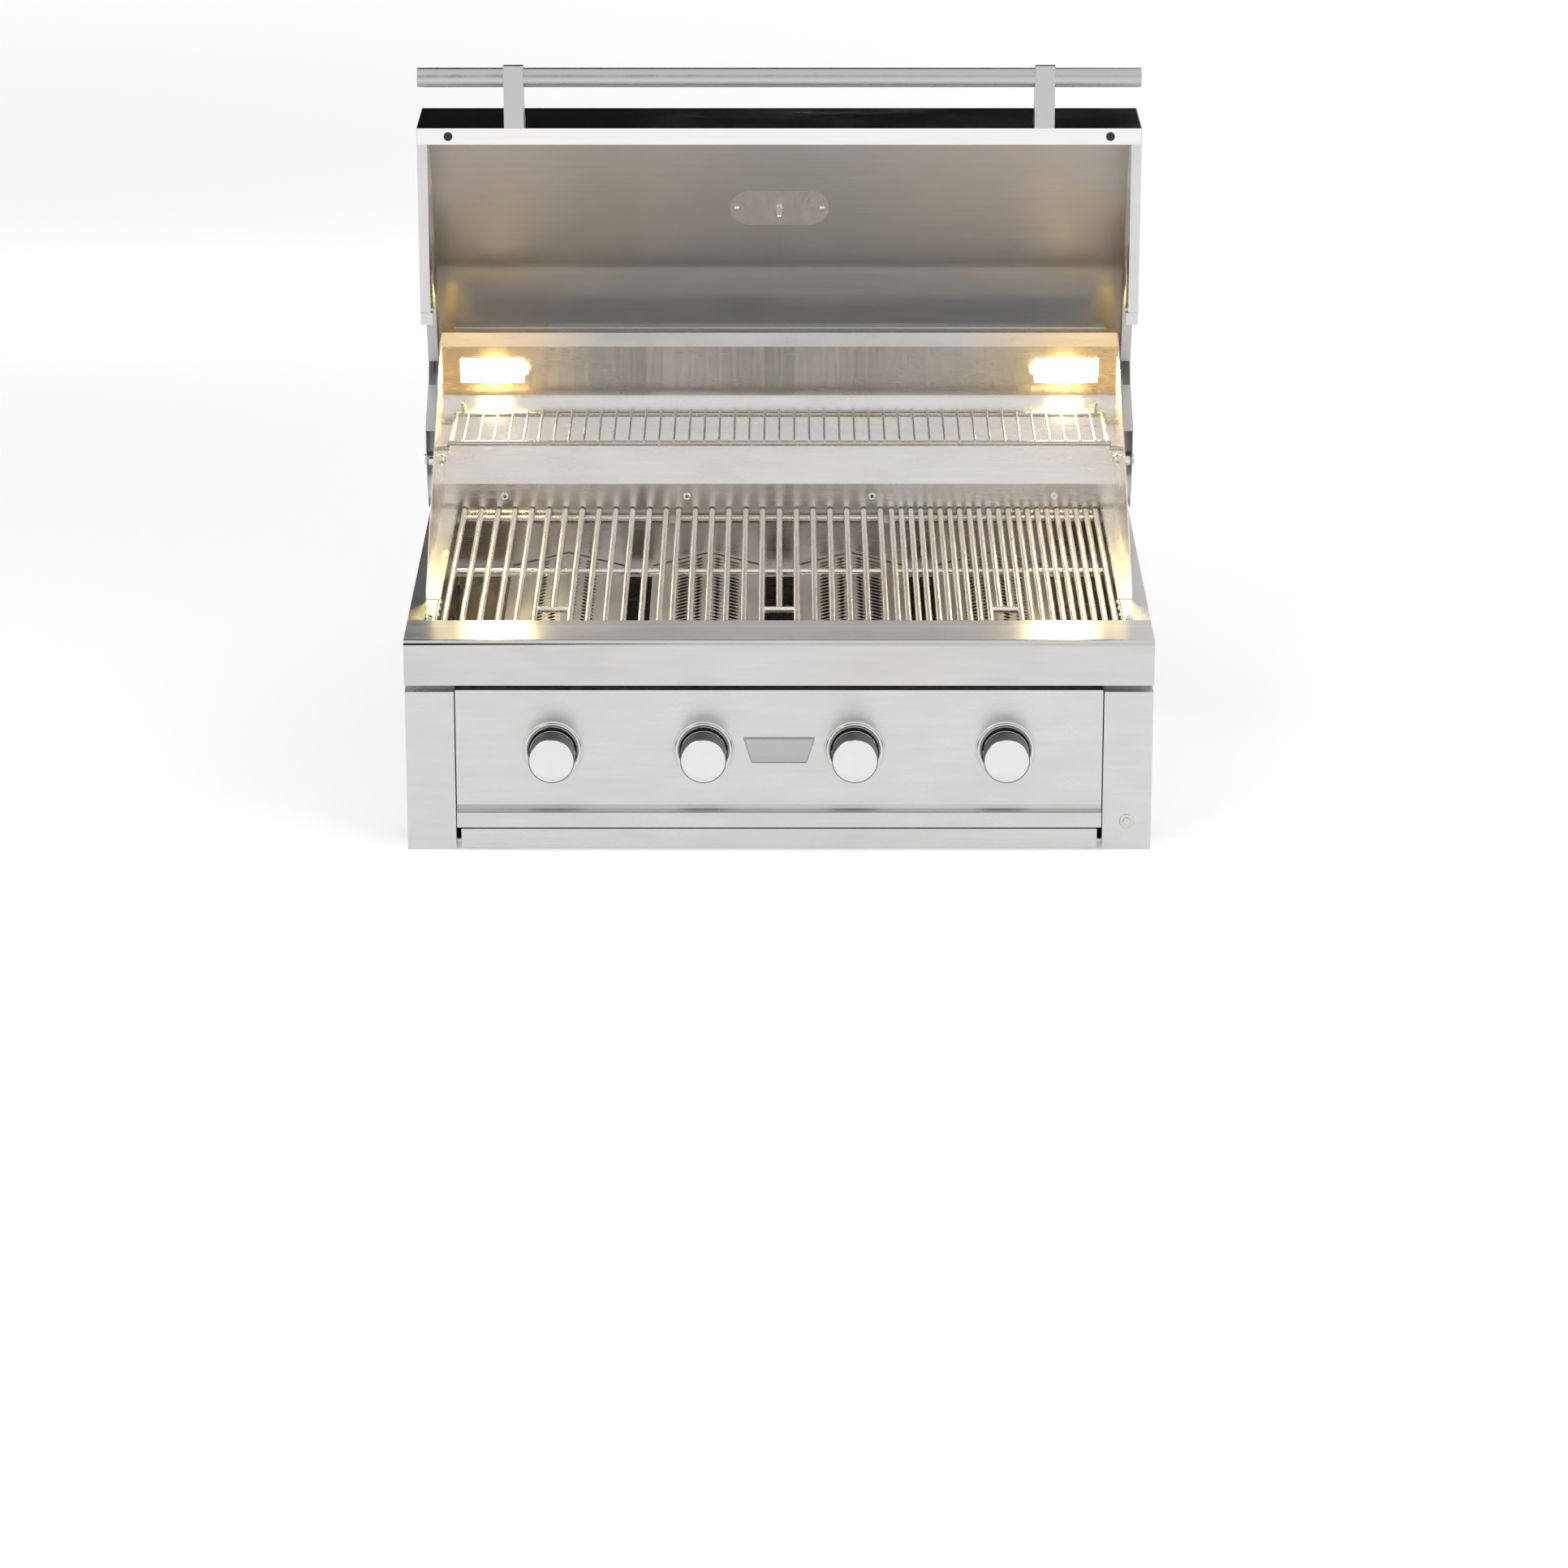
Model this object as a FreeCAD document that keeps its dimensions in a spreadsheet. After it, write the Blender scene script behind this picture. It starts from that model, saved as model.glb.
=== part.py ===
import FreeCAD, Part

import math
import os
import re

import Sketcher

# Built-in four-burner gas barbecue grill with its hood open.
#
# Units are millimetres.  Inside a sub-part Y is counted back from the front edge of the deck and
# Z up from the base; each sub-part's Placement then moves it so that the origin lies at the
# middle of the whole object's bottom.  X is across, and the hood is built open.

# Driving dimensions: alias, size, what it is.
DRIVING = [
    ("overall_width", 826, "width of the deck, the front and the hood's skirt"),
    ("steel", 1.2, "thickness of the casing's sheet"),
    ("deck_height", 245, "top of the deck above the base"),
    ("deck_strip", 78, "deck in front of the cooking opening"),
    ("opening_depth", 453, "cooking opening, front to back"),
    ("liner_x", 381, "half-width inside the firebox"),
    ("wall_x", 396, "inner face of each raised side wall"),
    ("casing_x", 384, "outer face of each side panel below the deck"),
    ("back_y", 578, "outer face of the back panel"),
    ("lip_drop", 51, "height of the deck's front lip"),
    ("nose_radius", 7, "rounding of the deck's front edge"),
    ("panel_setback", 8, "control panel behind the lip"),
    ("panel_top", 186, "top of the control panel"),
    ("post_top", 184, "top of a front post"),
    ("rail_top", 47, "top of the lower rail"),
    ("rail_low", 28, "bottom of the lower rail"),
    ("panel_half", 357.6, "half-width of the control panel, between the posts"),
    ("post_depth", 26, "depth of a front post's side"),
    ("post_gap", 1.4, "gap between a front post and the control panel"),
    ("wall_front_y", 158, "front end of a side wall"),
    ("wall_front_rise", 6, "side wall above the deck at its front end"),
    ("wall_back_y", 506, "where a side wall reaches its full height"),
    ("wall_back_rise", 213, "full height of a side wall above the deck"),
    ("rear_foot_rise", 29, "height of the upright foot of the rear liner"),
    ("rear_y", 554, "bend of the rear liner, its furthest point back"),
    ("rear_bend_rise", 131.3, "bend where the rear liner starts to lean forward"),
    ("rear_top_y", 536, "front of the rear liner at its top"),
    ("rear_top_rise", 195, "foot of the rear liner's top band"),
    ("floor_height", 60, "firebox floor above the base"),
    ("knob_pitch", 167, "distance between knobs, burners and flame tamers"),
    ("knob_height", 117, "knob axis above the base"),
    ("knob_radius", 25.4, "radius of a knob"),
    ("knob_face_y", -33, "front face of a knob"),
    ("knob_back_y", -1.2, "back face of a knob, clear of its bezel when it is pushed in"),
    ("bezel_radius", 33.5, "radius of a knob's bezel"),
    ("stem_radius", 4, "radius of a valve stem"),
    ("fit_gap", 0.06, "radial clearance of a running fit"),
    ("button_x", 386, "light switch from the middle"),
    ("button_height", 33.3, "light switch above the base"),
    ("button_radius", 4.5, "radius of the light switch's button"),
    ("burner_radius", 22, "radius of a burner tube"),
    ("burner_back_y", 505, "back end of a burner tube"),
    ("tamer_half", 67, "half-width of a flame tamer"),
    ("tamer_peak", 190, "ridge of a flame tamer above the base"),
    ("tamer_edge", 173, "lower edges of a flame tamer above the base"),
    ("tamer_skirt", 3, "turned-down edge along each side of a flame tamer"),
    ("tamer_gap", 3, "gap between a flame tamer and the back of the firebox"),
    ("ledge_depth", 35, "ledge at the back of the firebox that carries the flame tamers"),
    ("ledge_lip", 9.5, "turned-down front edge of that ledge"),
    ("rod_radius", 3.6, "radius of a grate rod"),
    ("grate_height", 241.6, "axis of the grate rods above the base"),
    ("wide_pitch", 19.9, "pitch of the rods in the left and middle grates"),
    ("fine_pitch", 11.5, "pitch of the rods in the right grate"),
    ("rack_height", 360, "axis of the warming rack's rails above the base"),
    ("rack_front_y", 400, "front rail of the warming rack"),
    ("rack_back_y", 528, "rear rail of the warming rack"),
    ("rack_pitch", 17.4, "pitch of the warming rack's wires"),
    ("rack_half", 384, "half-length of the warming rack's rails"),
    ("rail_radius", 3, "radius of the warming rack's rails"),
    ("wire_radius", 1.3, "radius of the warming rack's wires"),
    ("pivot_y", 465, "hood pivot"),
    ("pivot_rise", 78, "hood pivot above the deck"),
    ("bolt_radius", 4, "radius of a hinge bolt"),
    ("hood_half", 411.7, "outer half-width of the hood"),
    ("hood_sheet", 1, "thickness of the hood's sheet"),
    ("hood_front_y", 55, "front of the closed hood's skirt"),
    ("skirt_rise", 111, "height of the hood's skirt"),
    ("crease_y", 260.4, "crease between the hood's front and top"),
    ("crease_rise", 208.4, "height of that crease"),
    ("crown_y", 430, "second crease of the hood's top"),
    ("crown_rise", 276, "height of the second crease"),
    ("hood_back_y", 541, "rear edge of the closed hood"),
    ("hood_back_rise", 291, "height of the hood's rear edge"),
    ("handle_radius", 11, "radius of the handle's tube"),
    ("handle_half", 408, "half-length of the handle's tube"),
    ("handle_reach", -1.5, "axis of the closed handle, from the deck's front edge"),
    ("handle_rise", 12, "axis of the closed handle above the deck"),
    ("handle_post_x", 301, "handle posts from the middle"),
    ("post_half", 11.25, "half-width of a handle post"),
    ("post_reach", 15.3, "handle post beyond the handle's axis"),
    ("tray_half", 345, "half-width of the drip tray"),
    ("tray_back_y", 545, "back wall of the drip tray"),
    ("origin_y", -322.5, "deck's front edge from the object's middle, front to back"),
]

NAMES = {alias for alias, size, note in DRIVING}
KNOBS = (-1.5, -0.5, 0.5, 1.5)
SIDES = (("left", -1), ("right", 1))

doc = FreeCAD.newDocument("built_in_gas_grill")
sheet = doc.addObject("Spreadsheet::Sheet", "Sizes")
for row, (alias, size, note) in enumerate(DRIVING, start=1):
    sheet.set(f"A{row}", alias)
    sheet.set(f"B{row}", str(size))
    sheet.set(f"C{row}", note)
    sheet.setAlias(f"B{row}", alias)
doc.recompute()

parts = {}


def cells(text):
    """The expression with each of the sheet's aliases written as a reference."""
    return re.sub(r"[a-z_]+", lambda word: "Sizes." + word[0] if word[0] in NAMES else word[0], str(text))


def bind(item, prop, text):
    """Bind a property to an expression in the sheet's aliases."""
    item.setExpression(prop, cells(text))


def size_of(text):
    """The present value of such an expression."""
    return float(sheet.evalExpression(cells(text)))


def seat(axis, text):
    """A place on an axis, with Y moved from the deck's front edge to the origin."""
    return f"({text}) + origin_y" if axis == "y" else text


def new(kind, name):
    return doc.addObject(kind, name)


def keep(label, item):
    """Name a finished sub-part."""
    item.Label = label
    parts[label] = item
    return item


# ---- primitives -----------------------------------------------------------------------------

def block(x, y, z):
    """A box between two expressions on each axis."""
    item = new("Part::Box", "block")
    for side, axis, (low, high) in zip(("Length", "Width", "Height"), "xyz", (x, y, z)):
        bind(item, side, f"({high}) - ({low})")
        bind(item, f"Placement.Base.{axis}", seat(axis, low))
    return item


TURN = {
    "x": FreeCAD.Rotation(FreeCAD.Vector(0, 1, 0), 90),
    "y": FreeCAD.Rotation(FreeCAD.Vector(1, 0, 0), -90),
    "z": FreeCAD.Rotation(),
}


def rod(along, radius, start, length):
    """A cylinder from a start point, along +X, +Y or +Z."""
    item = new("Part::Cylinder", "rod")
    item.Placement = FreeCAD.Placement(FreeCAD.Vector(), TURN[along])
    bind(item, "Radius", radius)
    bind(item, "Height", length)
    for axis, place in zip("xyz", start):
        bind(item, f"Placement.Base.{axis}", seat(axis, place))
    return item


def joined(items):
    """One solid from overlapping or touching pieces."""
    item = new("Part::MultiFuse", "joined")
    item.Shapes = items
    item.Refine = True
    return item


def group(items):
    """Separate solids that share one node."""
    item = new("Part::Compound", "group")
    item.Links = items
    return item


def without(base, tools):
    """The base with each tool cut away."""
    tool = tools[0] if len(tools) == 1 else joined(tools)
    item = new("Part::Cut", "cut")
    item.Base = base
    item.Tool = tool
    item.Refine = True
    return item


def mirrored(item):
    """The same piece on the other side of the object's middle."""
    copy = new("Part::Mirroring", "mirrored")
    copy.Source = item
    copy.Normal = FreeCAD.Vector(1, 0, 0)
    return copy


# ---- sketched sections ----------------------------------------------------------------------

FRAMES = {
    "x": FreeCAD.Rotation(FreeCAD.Vector(0, 1, 0), FreeCAD.Vector(0, 0, 1), FreeCAD.Vector(1, 0, 0), "XYZ"),
    "y": FreeCAD.Rotation(FreeCAD.Vector(1, 0, 0), FreeCAD.Vector(0, 0, 1), FreeCAD.Vector(0, -1, 0), "XYZ"),
    "z": FreeCAD.Rotation(),
}
DRAWN_ON = {"x": "yz", "y": "xz", "z": "xy"}
# The sign that offsets a path to the right of the way it runs, as drawn in each frame.
RIGHT_HAND = {"x": 1, "y": -1, "z": 1}
ALONG = {
    "x": FreeCAD.Vector(1, 0, 0),
    "y": FreeCAD.Vector(0, 1, 0),
    "z": FreeCAD.Vector(0, 0, 1),
}


def draw(sketch, points, closed):
    """Draw straight lines through the points and bind every coordinate to the sheet."""
    places = [FreeCAD.Vector(size_of(a), size_of(b), 0) for a, b in points]
    ends = places[1:] + places[:1] if closed else places[1:]
    for start, end in zip(places, ends):
        sketch.addGeometry(Part.LineSegment(start, end), False)
    lines = len(ends)
    for index in range(lines if closed else lines - 1):
        sketch.addConstraint(Sketcher.Constraint("Coincident", index, 2, (index + 1) % lines, 1))
    for index, point in enumerate(points):
        line, end = (index, 1) if index < lines else (index - 1, 2)
        for kind, text in zip(("DistanceX", "DistanceY"), point):
            number = sketch.addConstraint(Sketcher.Constraint(kind, line, end, size_of(text)))
            bind(sketch, f"Constraints[{number}]", text)


def section(along, low, points, closed=True):
    """A sketch square to an axis, at an expression's place on it."""
    sketch = new("Sketcher::SketchObject", "section")
    sketch.Placement = FreeCAD.Placement(FreeCAD.Vector(), FRAMES[along])
    bind(sketch, f"Placement.Base.{along}", seat(along, low))
    first, second = DRAWN_ON[along]
    draw(sketch, [(seat(first, a), seat(second, b)) for a, b in points], closed)
    return sketch


def extruded(along, span, face):
    low, high = span
    item = new("Part::Extrusion", "extrusion")
    item.Base = face
    item.DirMode = "Custom"
    item.Dir = ALONG[along]
    item.Solid = True
    bind(item, "LengthFwd", f"({high}) - ({low})")
    return item


def bar(along, span, points):
    """A solid bar with the outline as its section."""
    return extruded(along, span, section(along, span[0], points))


def bent_sheet(along, span, points, thickness="steel", side=1):
    """Sheet metal bent along the points, its thickness to the right of the way they run."""
    path = section(along, span[0], points, closed=False)
    strip = new("Part::Offset2D", "strip")
    strip.Source = path
    strip.Mode = "Skin"
    strip.Join = "Arc"
    strip.Fill = True
    bind(strip, "Value", f"{side * RIGHT_HAND[along]} * {thickness}")
    return extruded(along, span, strip)


def turned_local(label, outline):
    """A body turned about its own Y axis from (y, radius) points."""
    body = new("PartDesign::Body", label)
    sketch = body.newObject("Sketcher::SketchObject", label + "_outline")
    plane = next(item for item in body.Origin.OriginFeatures if item.Role == "YZ_Plane")
    sketch.AttachmentSupport = [(plane, "")]
    sketch.MapMode = "FlatFace"
    draw(sketch, outline, True)
    doc.recompute()
    spin = body.newObject("PartDesign::Revolution", label + "_turning")
    spin.Profile = sketch
    spin.ReferenceAxis = (sketch, ["H_Axis"])
    spin.Angle = 360
    return body


def turned(label, outline, place):
    """A turned body set down at a place."""
    body = turned_local(label, outline)
    for axis, text in zip("xyz", place):
        bind(body, f"Placement.Base.{axis}", seat(axis, text))
    return body


def rounded(item, bends):
    """Round edges that run along X: (y, z, radius) for each."""
    doc.recompute()
    chosen = []
    for y, z, radius in bends:
        where = (size_of(seat("y", y)), size_of(z))
        for number, edge in enumerate(item.Shape.Edges, start=1):
            ends = [(vertex.Y, vertex.Z) for vertex in edge.Vertexes]
            if all(abs(a - where[0]) < 0.01 and abs(b - where[1]) < 0.01 for a, b in ends):
                chosen.append((number, size_of(radius), size_of(radius)))
    result = new("Part::Fillet", "rounded")
    result.Base = item
    result.Edges = chosen
    return result


HALF = "overall_width / 2"
ACROSS = (f"-{HALF}", HALF)
DECK = "deck_height"


def knob_x(step):
    return f"{step} * knob_pitch"


# ---- deck and front -------------------------------------------------------------------------

def make_deck_front():
    """The strip in front of the opening, rounded over into the front lip."""
    lip_foot = "deck_height - lip_drop"
    path = [("deck_strip", DECK), ("0", DECK), ("0", lip_foot), ("14", lip_foot)]
    bends = [("0", DECK, "nose_radius"), ("steel", "deck_height - steel", "nose_radius - steel")]
    keep("deck_front", rounded(bent_sheet("x", ACROSS, path, side=-1), bends))


def make_control_panel():
    """The panel between the posts, flared forward at its foot, with a hole for each valve stem."""
    face = "panel_setback"
    path = [
        ("30", "panel_top"),
        (face, "panel_top"),
        (face, "rail_top + 6"),
        ("panel_setback - 2", "rail_top + 2"),
        ("panel_setback - 6", "rail_top"),
    ]
    panel = bent_sheet("x", ("-panel_half", "panel_half"), path, side=-1)
    holes = [rod("y", "stem_radius * 2", (knob_x(step), "0", "knob_height"), "20") for step in KNOBS]
    keep("control_panel", without(panel, holes))


def make_lower_rail():
    top = "rail_top - 1.6"
    path = [("30", top), ("panel_setback - 6", top), ("panel_setback - 6", "rail_low"), ("30", "rail_low")]
    keep("lower_rail", bent_sheet("x", ("-panel_half", "panel_half"), path, side=-1))


def make_front_posts():
    """A channel at each end of the front, capped and joined to the deck behind its cap; the right
    one carries the light switch."""
    inner, back = "panel_half + post_gap", "panel_setback + post_depth"
    path = [(inner, back), (inner, "panel_setback"), (HALF, "panel_setback"), (HALF, back)]

    def channel():
        cap = block((inner, HALF), ("panel_setback", back), ("post_top - steel", "post_top"))
        riser = block((inner, HALF), (f"{back} - steel", back), ("post_top - steel", "deck_height - steel"))
        return joined([bent_sheet("z", ("0", "post_top"), path, side=-1), cap, riser])

    hole = rod("y", "button_radius + 1.5", ("button_x", "0", "button_height"), "20")
    keep("front_post_right", without(channel(), [hole]))
    keep("front_post_left", mirrored(channel()))


def make_button_bezel():
    bore, barrel = "button_radius + fit_gap", "button_radius + 1.5"
    outline = [
        ("panel_setback - 1.6", bore),
        ("panel_setback - 1.6", "button_radius + 3"),
        ("panel_setback - 1", "button_radius + 3.6"),
        ("panel_setback", "button_radius + 3.6"),
        ("panel_setback", barrel),
        ("panel_setback + 18", barrel),
        ("panel_setback + 18", bore),
    ]
    keep("button_bezel", turned("button_bezel", outline, ("button_x", "0", "button_height")))


def make_knob_bezels():
    outline = [
        ("panel_setback", "knob_radius + 1.2"),
        ("panel_setback", "bezel_radius"),
        ("panel_setback - 3.5", "bezel_radius"),
        ("panel_setback - 6", "bezel_radius - 3"),
        ("panel_setback - 6", "knob_radius + 1.2"),
    ]
    rings = [
        turned(f"bezel_ring_{number}", outline, (knob_x(step), "0", "knob_height"))
        for number, step in enumerate(KNOBS, start=1)
    ]
    keep("knob_bezels", group(rings))


def make_badge_plate():
    """A bare trapezoid plate in the middle of the control panel."""
    corners = [("-39.6", "131"), ("39.6", "131"), ("30.7", "102"), ("-30.7", "102")]
    keep("badge_plate", bar("y", ("panel_setback - 2", "panel_setback"), corners))


# ---- casing ---------------------------------------------------------------------------------

def make_side_panels():
    """A side sheet with an inturned foot and the outward flange that hangs on the counter."""
    under = "deck_height - steel"
    path = [("casing_x - 20", "0"), ("casing_x", "0"), ("casing_x", under), (HALF, under)]
    start = "panel_setback + post_depth + 0.4"

    def panel():
        side = bent_sheet("y", (start, "back_y - steel"), path, side=-1)
        outer = ("casing_x - 30", f"{HALF} + 1")
        notch = block(outer, ("0", "deck_strip"), ("deck_height - steel", "deck_height + 1"))
        return side, notch

    right, notch = panel()
    keep("side_panel_right", without(right, [notch]))
    left, notch = panel()
    inlet = rod("x", "9.2", ("casing_x - 10", "44", "knob_height + 22"), "20")
    keep("side_panel_left", mirrored(without(left, [notch, inlet])))


def make_back_panel():
    top = "deck_height + wall_back_rise"
    path = [("back_y - 14", "steel"), ("back_y", "steel"), ("back_y", top), ("rear_y + 4", top)]
    inside = "casing_x - steel"
    keep("back_panel", bent_sheet("x", (f"-({inside})", inside), path, side=-1))


def make_side_walls():
    """A raised wall on each side with a sloping top edge and a ledge at its foot."""
    foot = "deck_height + steel"
    back = "back_y - steel"
    outline = [
        ("wall_front_y", DECK),
        ("wall_front_y", "deck_height + wall_front_rise"),
        ("wall_back_y", "deck_height + wall_back_rise"),
        (back, "deck_height + wall_back_rise"),
        (back, DECK),
    ]

    def wall():
        plate = bar("x", ("wall_x", "wall_x + steel"), outline)
        span = ("wall_front_y", "deck_strip + opening_depth - 12")
        ledge = block(("liner_x + 1", "wall_x"), span, (DECK, foot))
        bolt_hole = rod("x", "bolt_radius", ("wall_x - 10", "pivot_y", "deck_height + pivot_rise"), "20")
        return without(joined([plate, ledge]), [bolt_hole])

    keep("side_wall_right", wall())
    keep("side_wall_left", mirrored(wall()))


def lean(rise):
    """How far back the leaning top of the rear liner is at a height above the deck."""
    slope = "(rear_y - rear_top_y) / (rear_top_rise - rear_bend_rise)"
    return f"rear_y - ({rise} - rear_bend_rise) * {slope}"


LAMP_X = 338
LAMP_HALF = 37
LAMP_LOW, LAMP_HIGH = 148.7, 177.8


def lamp_span(side, margin=0):
    middle = side * LAMP_X
    return (str(middle - LAMP_HALF - margin), str(middle + LAMP_HALF + margin))


def make_rear_liner():
    """The bent sheet behind the grates, with a window for each lamp."""
    top = "deck_height + wall_back_rise - steel"
    path = [
        ("deck_strip + opening_depth", DECK),
        ("deck_strip + opening_depth", "deck_height + rear_foot_rise"),
        ("rear_y", "deck_height + rear_bend_rise"),
        ("rear_top_y", "deck_height + rear_top_rise"),
        ("rear_top_y", top),
        ("rear_y + 8", top),
    ]
    liner = bent_sheet("x", ("-(wall_x - 0.1)", "wall_x - 0.1"), path)
    window = (f"deck_height + {LAMP_LOW}", f"deck_height + {LAMP_HIGH}")
    windows = [block(lamp_span(side), ("rear_top_y - 10", "rear_y + 10"), window) for name, side in SIDES]
    keep("rear_liner", without(liner, windows))


def make_lamps():
    """Two lamps in the rear liner: a glass lens in each window and a folded housing behind it."""
    front, behind = -1.5, 2.5
    lenses, housings = [], []
    for name, side in SIDES:
        outline = [
            (f"{lean(LAMP_LOW)} + {front}", f"deck_height + {LAMP_LOW}"),
            (f"{lean(LAMP_HIGH)} + {front}", f"deck_height + {LAMP_HIGH}"),
            (f"{lean(LAMP_HIGH)} + {behind}", f"deck_height + {LAMP_HIGH}"),
            (f"{lean(LAMP_LOW)} + {behind}", f"deck_height + {LAMP_LOW}"),
        ]
        lenses.append(bar("x", lamp_span(side), outline))
        low, high, back = f"deck_height + {LAMP_LOW} - 6", f"deck_height + {LAMP_HIGH} + 6", "back_y - 8"
        path = [
            (f"{lean(LAMP_LOW - 6)} + 1.8", low),
            (back, low),
            (back, high),
            (f"{lean(LAMP_HIGH + 6)} + 1.8", high),
        ]
        housings.append(bent_sheet("x", lamp_span(side, 6), path, side=-1))
    keep("lamp_lenses", group(lenses))
    keep("lamp_housings", group(housings))


# ---- firebox --------------------------------------------------------------------------------

def make_firebox():
    """The inner box: four walls, an open-centred floor, and the rails for grates and tamers."""
    outside = "liner_x + steel"
    front, back = "deck_strip - steel", "deck_strip + opening_depth"
    top = "deck_height - steel"
    across = (f"-({outside})", outside)
    inside = ("-liner_x", "liner_x")
    grate_rest = "grate_height - 3 * rod_radius + 0.2"
    tamer_rest = "tamer_edge - tamer_skirt"
    ledge_front = f"{back} - ledge_depth"
    floor = ("floor_height", "floor_height + steel")
    pieces = [
        block(across, (front, "deck_strip"), ("floor_height", top)),
        block(across, (back, f"{back} + steel"), ("floor_height", DECK)),
        block(("liner_x", outside), ("deck_strip", back), ("floor_height", top)),
        block((f"-({outside})", "-liner_x"), ("deck_strip", back), ("floor_height", top)),
        block(inside, ("deck_strip", "150"), floor),
        block(inside, ("450", back), floor),
        block(("-liner_x", "-250"), ("150", "450"), floor),
        block(("250", "liner_x"), ("150", "450"), floor),
        block(inside, ("deck_strip", "deck_strip + 14"), (f"{grate_rest} - steel", grate_rest)),
        block(inside, (f"{back} - 17", back), (f"{grate_rest} - steel", grate_rest)),
        block(inside, ("deck_strip", "deck_strip + 16"), (f"{tamer_rest} - steel", tamer_rest)),
        block(inside, (ledge_front, back), (f"{tamer_rest} - steel", tamer_rest)),
        block(inside, (ledge_front, f"{ledge_front} + steel"), (f"{tamer_rest} - ledge_lip", tamer_rest)),
    ]
    holes = []
    for step in KNOBS:
        holes.append(rod("y", "13", (knob_x(step), "deck_strip - 5", "knob_height"), "10"))
        holes.append(rod("y", "2.6", (f"{knob_x(step)} + 26", "deck_strip - 5", "knob_height + 33"), "10"))
    keep("firebox", without(joined(pieces), holes))


def make_burners():
    """A tube burner behind each valve, with a narrow venturi at its mouth."""
    wall = "steel"
    outline = [
        ("56", "11"),
        ("56", f"11 + {wall}"),
        ("104", f"11 + {wall}"),
        ("130", "burner_radius"),
        ("burner_back_y", "burner_radius"),
        ("burner_back_y", "4"),
        ("deck_strip + opening_depth", "4"),
        ("deck_strip + opening_depth", "0"),
        (f"burner_back_y - {wall}", "0"),
        (f"burner_back_y - {wall}", f"burner_radius - {wall}"),
        ("130.5", f"burner_radius - {wall}"),
        ("104", "11"),
    ]
    for number, step in enumerate(KNOBS, start=1):
        label = f"burner_{number}"
        keep(label, turned(label, outline, (knob_x(step), "0", "knob_height")))


def make_flame_tamers():
    """A shallow roof over each burner, resting on the rails at its ends."""
    for number, step in enumerate(KNOBS, start=1):
        middle = knob_x(step)
        low, high = f"{middle} - tamer_half", f"{middle} + tamer_half"
        foot = "tamer_edge - tamer_skirt"
        path = [(low, foot), (low, "tamer_edge"), (middle, "tamer_peak"), (high, "tamer_edge"), (high, foot)]
        span = ("deck_strip + 4", "deck_strip + opening_depth - tamer_gap")
        keep(f"flame_tamer_{number}", bent_sheet("y", span, path))


def make_gas_train():
    """The manifold along the valves, its inlet through the left side, and one valve per burner."""
    axis = ("44", "knob_height + 22")
    pipe = rod("x", "9", ("-casing_x", *axis), "casing_x + 1.5 * knob_pitch + 12")
    fitting = rod("x", "7.94", ("-(casing_x + 21)", *axis), "30")
    bore = rod("x", "5.5", ("-(casing_x + 22)", *axis), "casing_x + 1.5 * knob_pitch + 22")
    keep("gas_manifold", without(joined([pipe, fitting]), [bore]))
    valves = []
    for step in KNOBS:
        middle = knob_x(step)
        wide, tall = (f"{middle} - 14", f"{middle} + 14"), ("knob_height - 13", "knob_height + 13")
        body = block(wide, ("20", "54"), tall)
        orifice = rod("y", "4", (middle, "54", "knob_height"), "8")
        seat_bore = rod("y", "stem_radius + fit_gap", (middle, "19", "knob_height"), "31")
        valves.append(without(joined([body, orifice]), [seat_bore]))
    keep("gas_valves", group(valves))
    igniters = [rod("y", "2.5", (f"{knob_x(step)} + 26", "62", "knob_height + 33"), "66") for step in KNOBS]
    keep("igniters", group(igniters))


def make_fixings():
    """Screw heads in the liners, hinge bolts with their nuts, and the warming rack's studs."""
    heads = []
    rear_face = "deck_strip + opening_depth"
    for middle in ("-325.5", "-109.5", "109.5", "325.5"):
        heads.append(rod("y", "4", (middle, f"{rear_face} - 3.6", "deck_height + 14"), "3.6"))
    for name, side in SIDES:
        for back in (112, 136, 160):
            start = "liner_x - 2.5" if side > 0 else "-liner_x"
            heads.append(rod("x", "3.2", (start, str(back), "deck_height - 5"), "2.5"))
        heads.append(rod("z", "4.5", (str(side * 389), "deck_strip + 6", DECK), "3.2"))
    keep("liner_screws", group(heads))
    bolts = []
    for name, side in SIDES:
        axis = ("pivot_y", "deck_height + pivot_rise")
        head = rod("x", "6.5", ("wall_x - 6", *axis), "6")
        shank = rod("x", "bolt_radius", ("wall_x - 1", *axis), "hood_half + 3.6 - wall_x")
        washer = rod("x", "9", ("wall_x + steel", *axis), "hood_half - hood_sheet - 0.4 - wall_x - steel")
        nut = rod("x", "7", ("hood_half + 0.4", *axis), "3.4")
        bolt = joined([head, shank, washer, nut])
        bolts.append(bolt if side > 0 else mirrored(bolt))
    keep("hinge_bolts", group(bolts))
    studs = []
    for name, side in SIDES:
        for rail in ("rack_front_y + 1", "rack_back_y - 12"):
            start = "wall_x - 14" if side > 0 else "-wall_x"
            studs.append(rod("x", "3", (start, rail, "rack_height - 6.4"), "14"))
    keep("rack_studs", group(studs))


def make_tray_runners():
    runners = []
    for name, side in SIDES:
        run = ("panel_setback + post_depth + 2", "back_y - 16")
        runner = block(("tray_half - 12", "casing_x - steel"), run, ("1.8", "3.2"))
        runners.append(runner if side > 0 else mirrored(runner))
    keep("tray_runners", group(runners))


# ---- hood -----------------------------------------------------------------------------------
# The hood's outlines are given closed, as (y, height above the deck), and turned open here.

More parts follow.
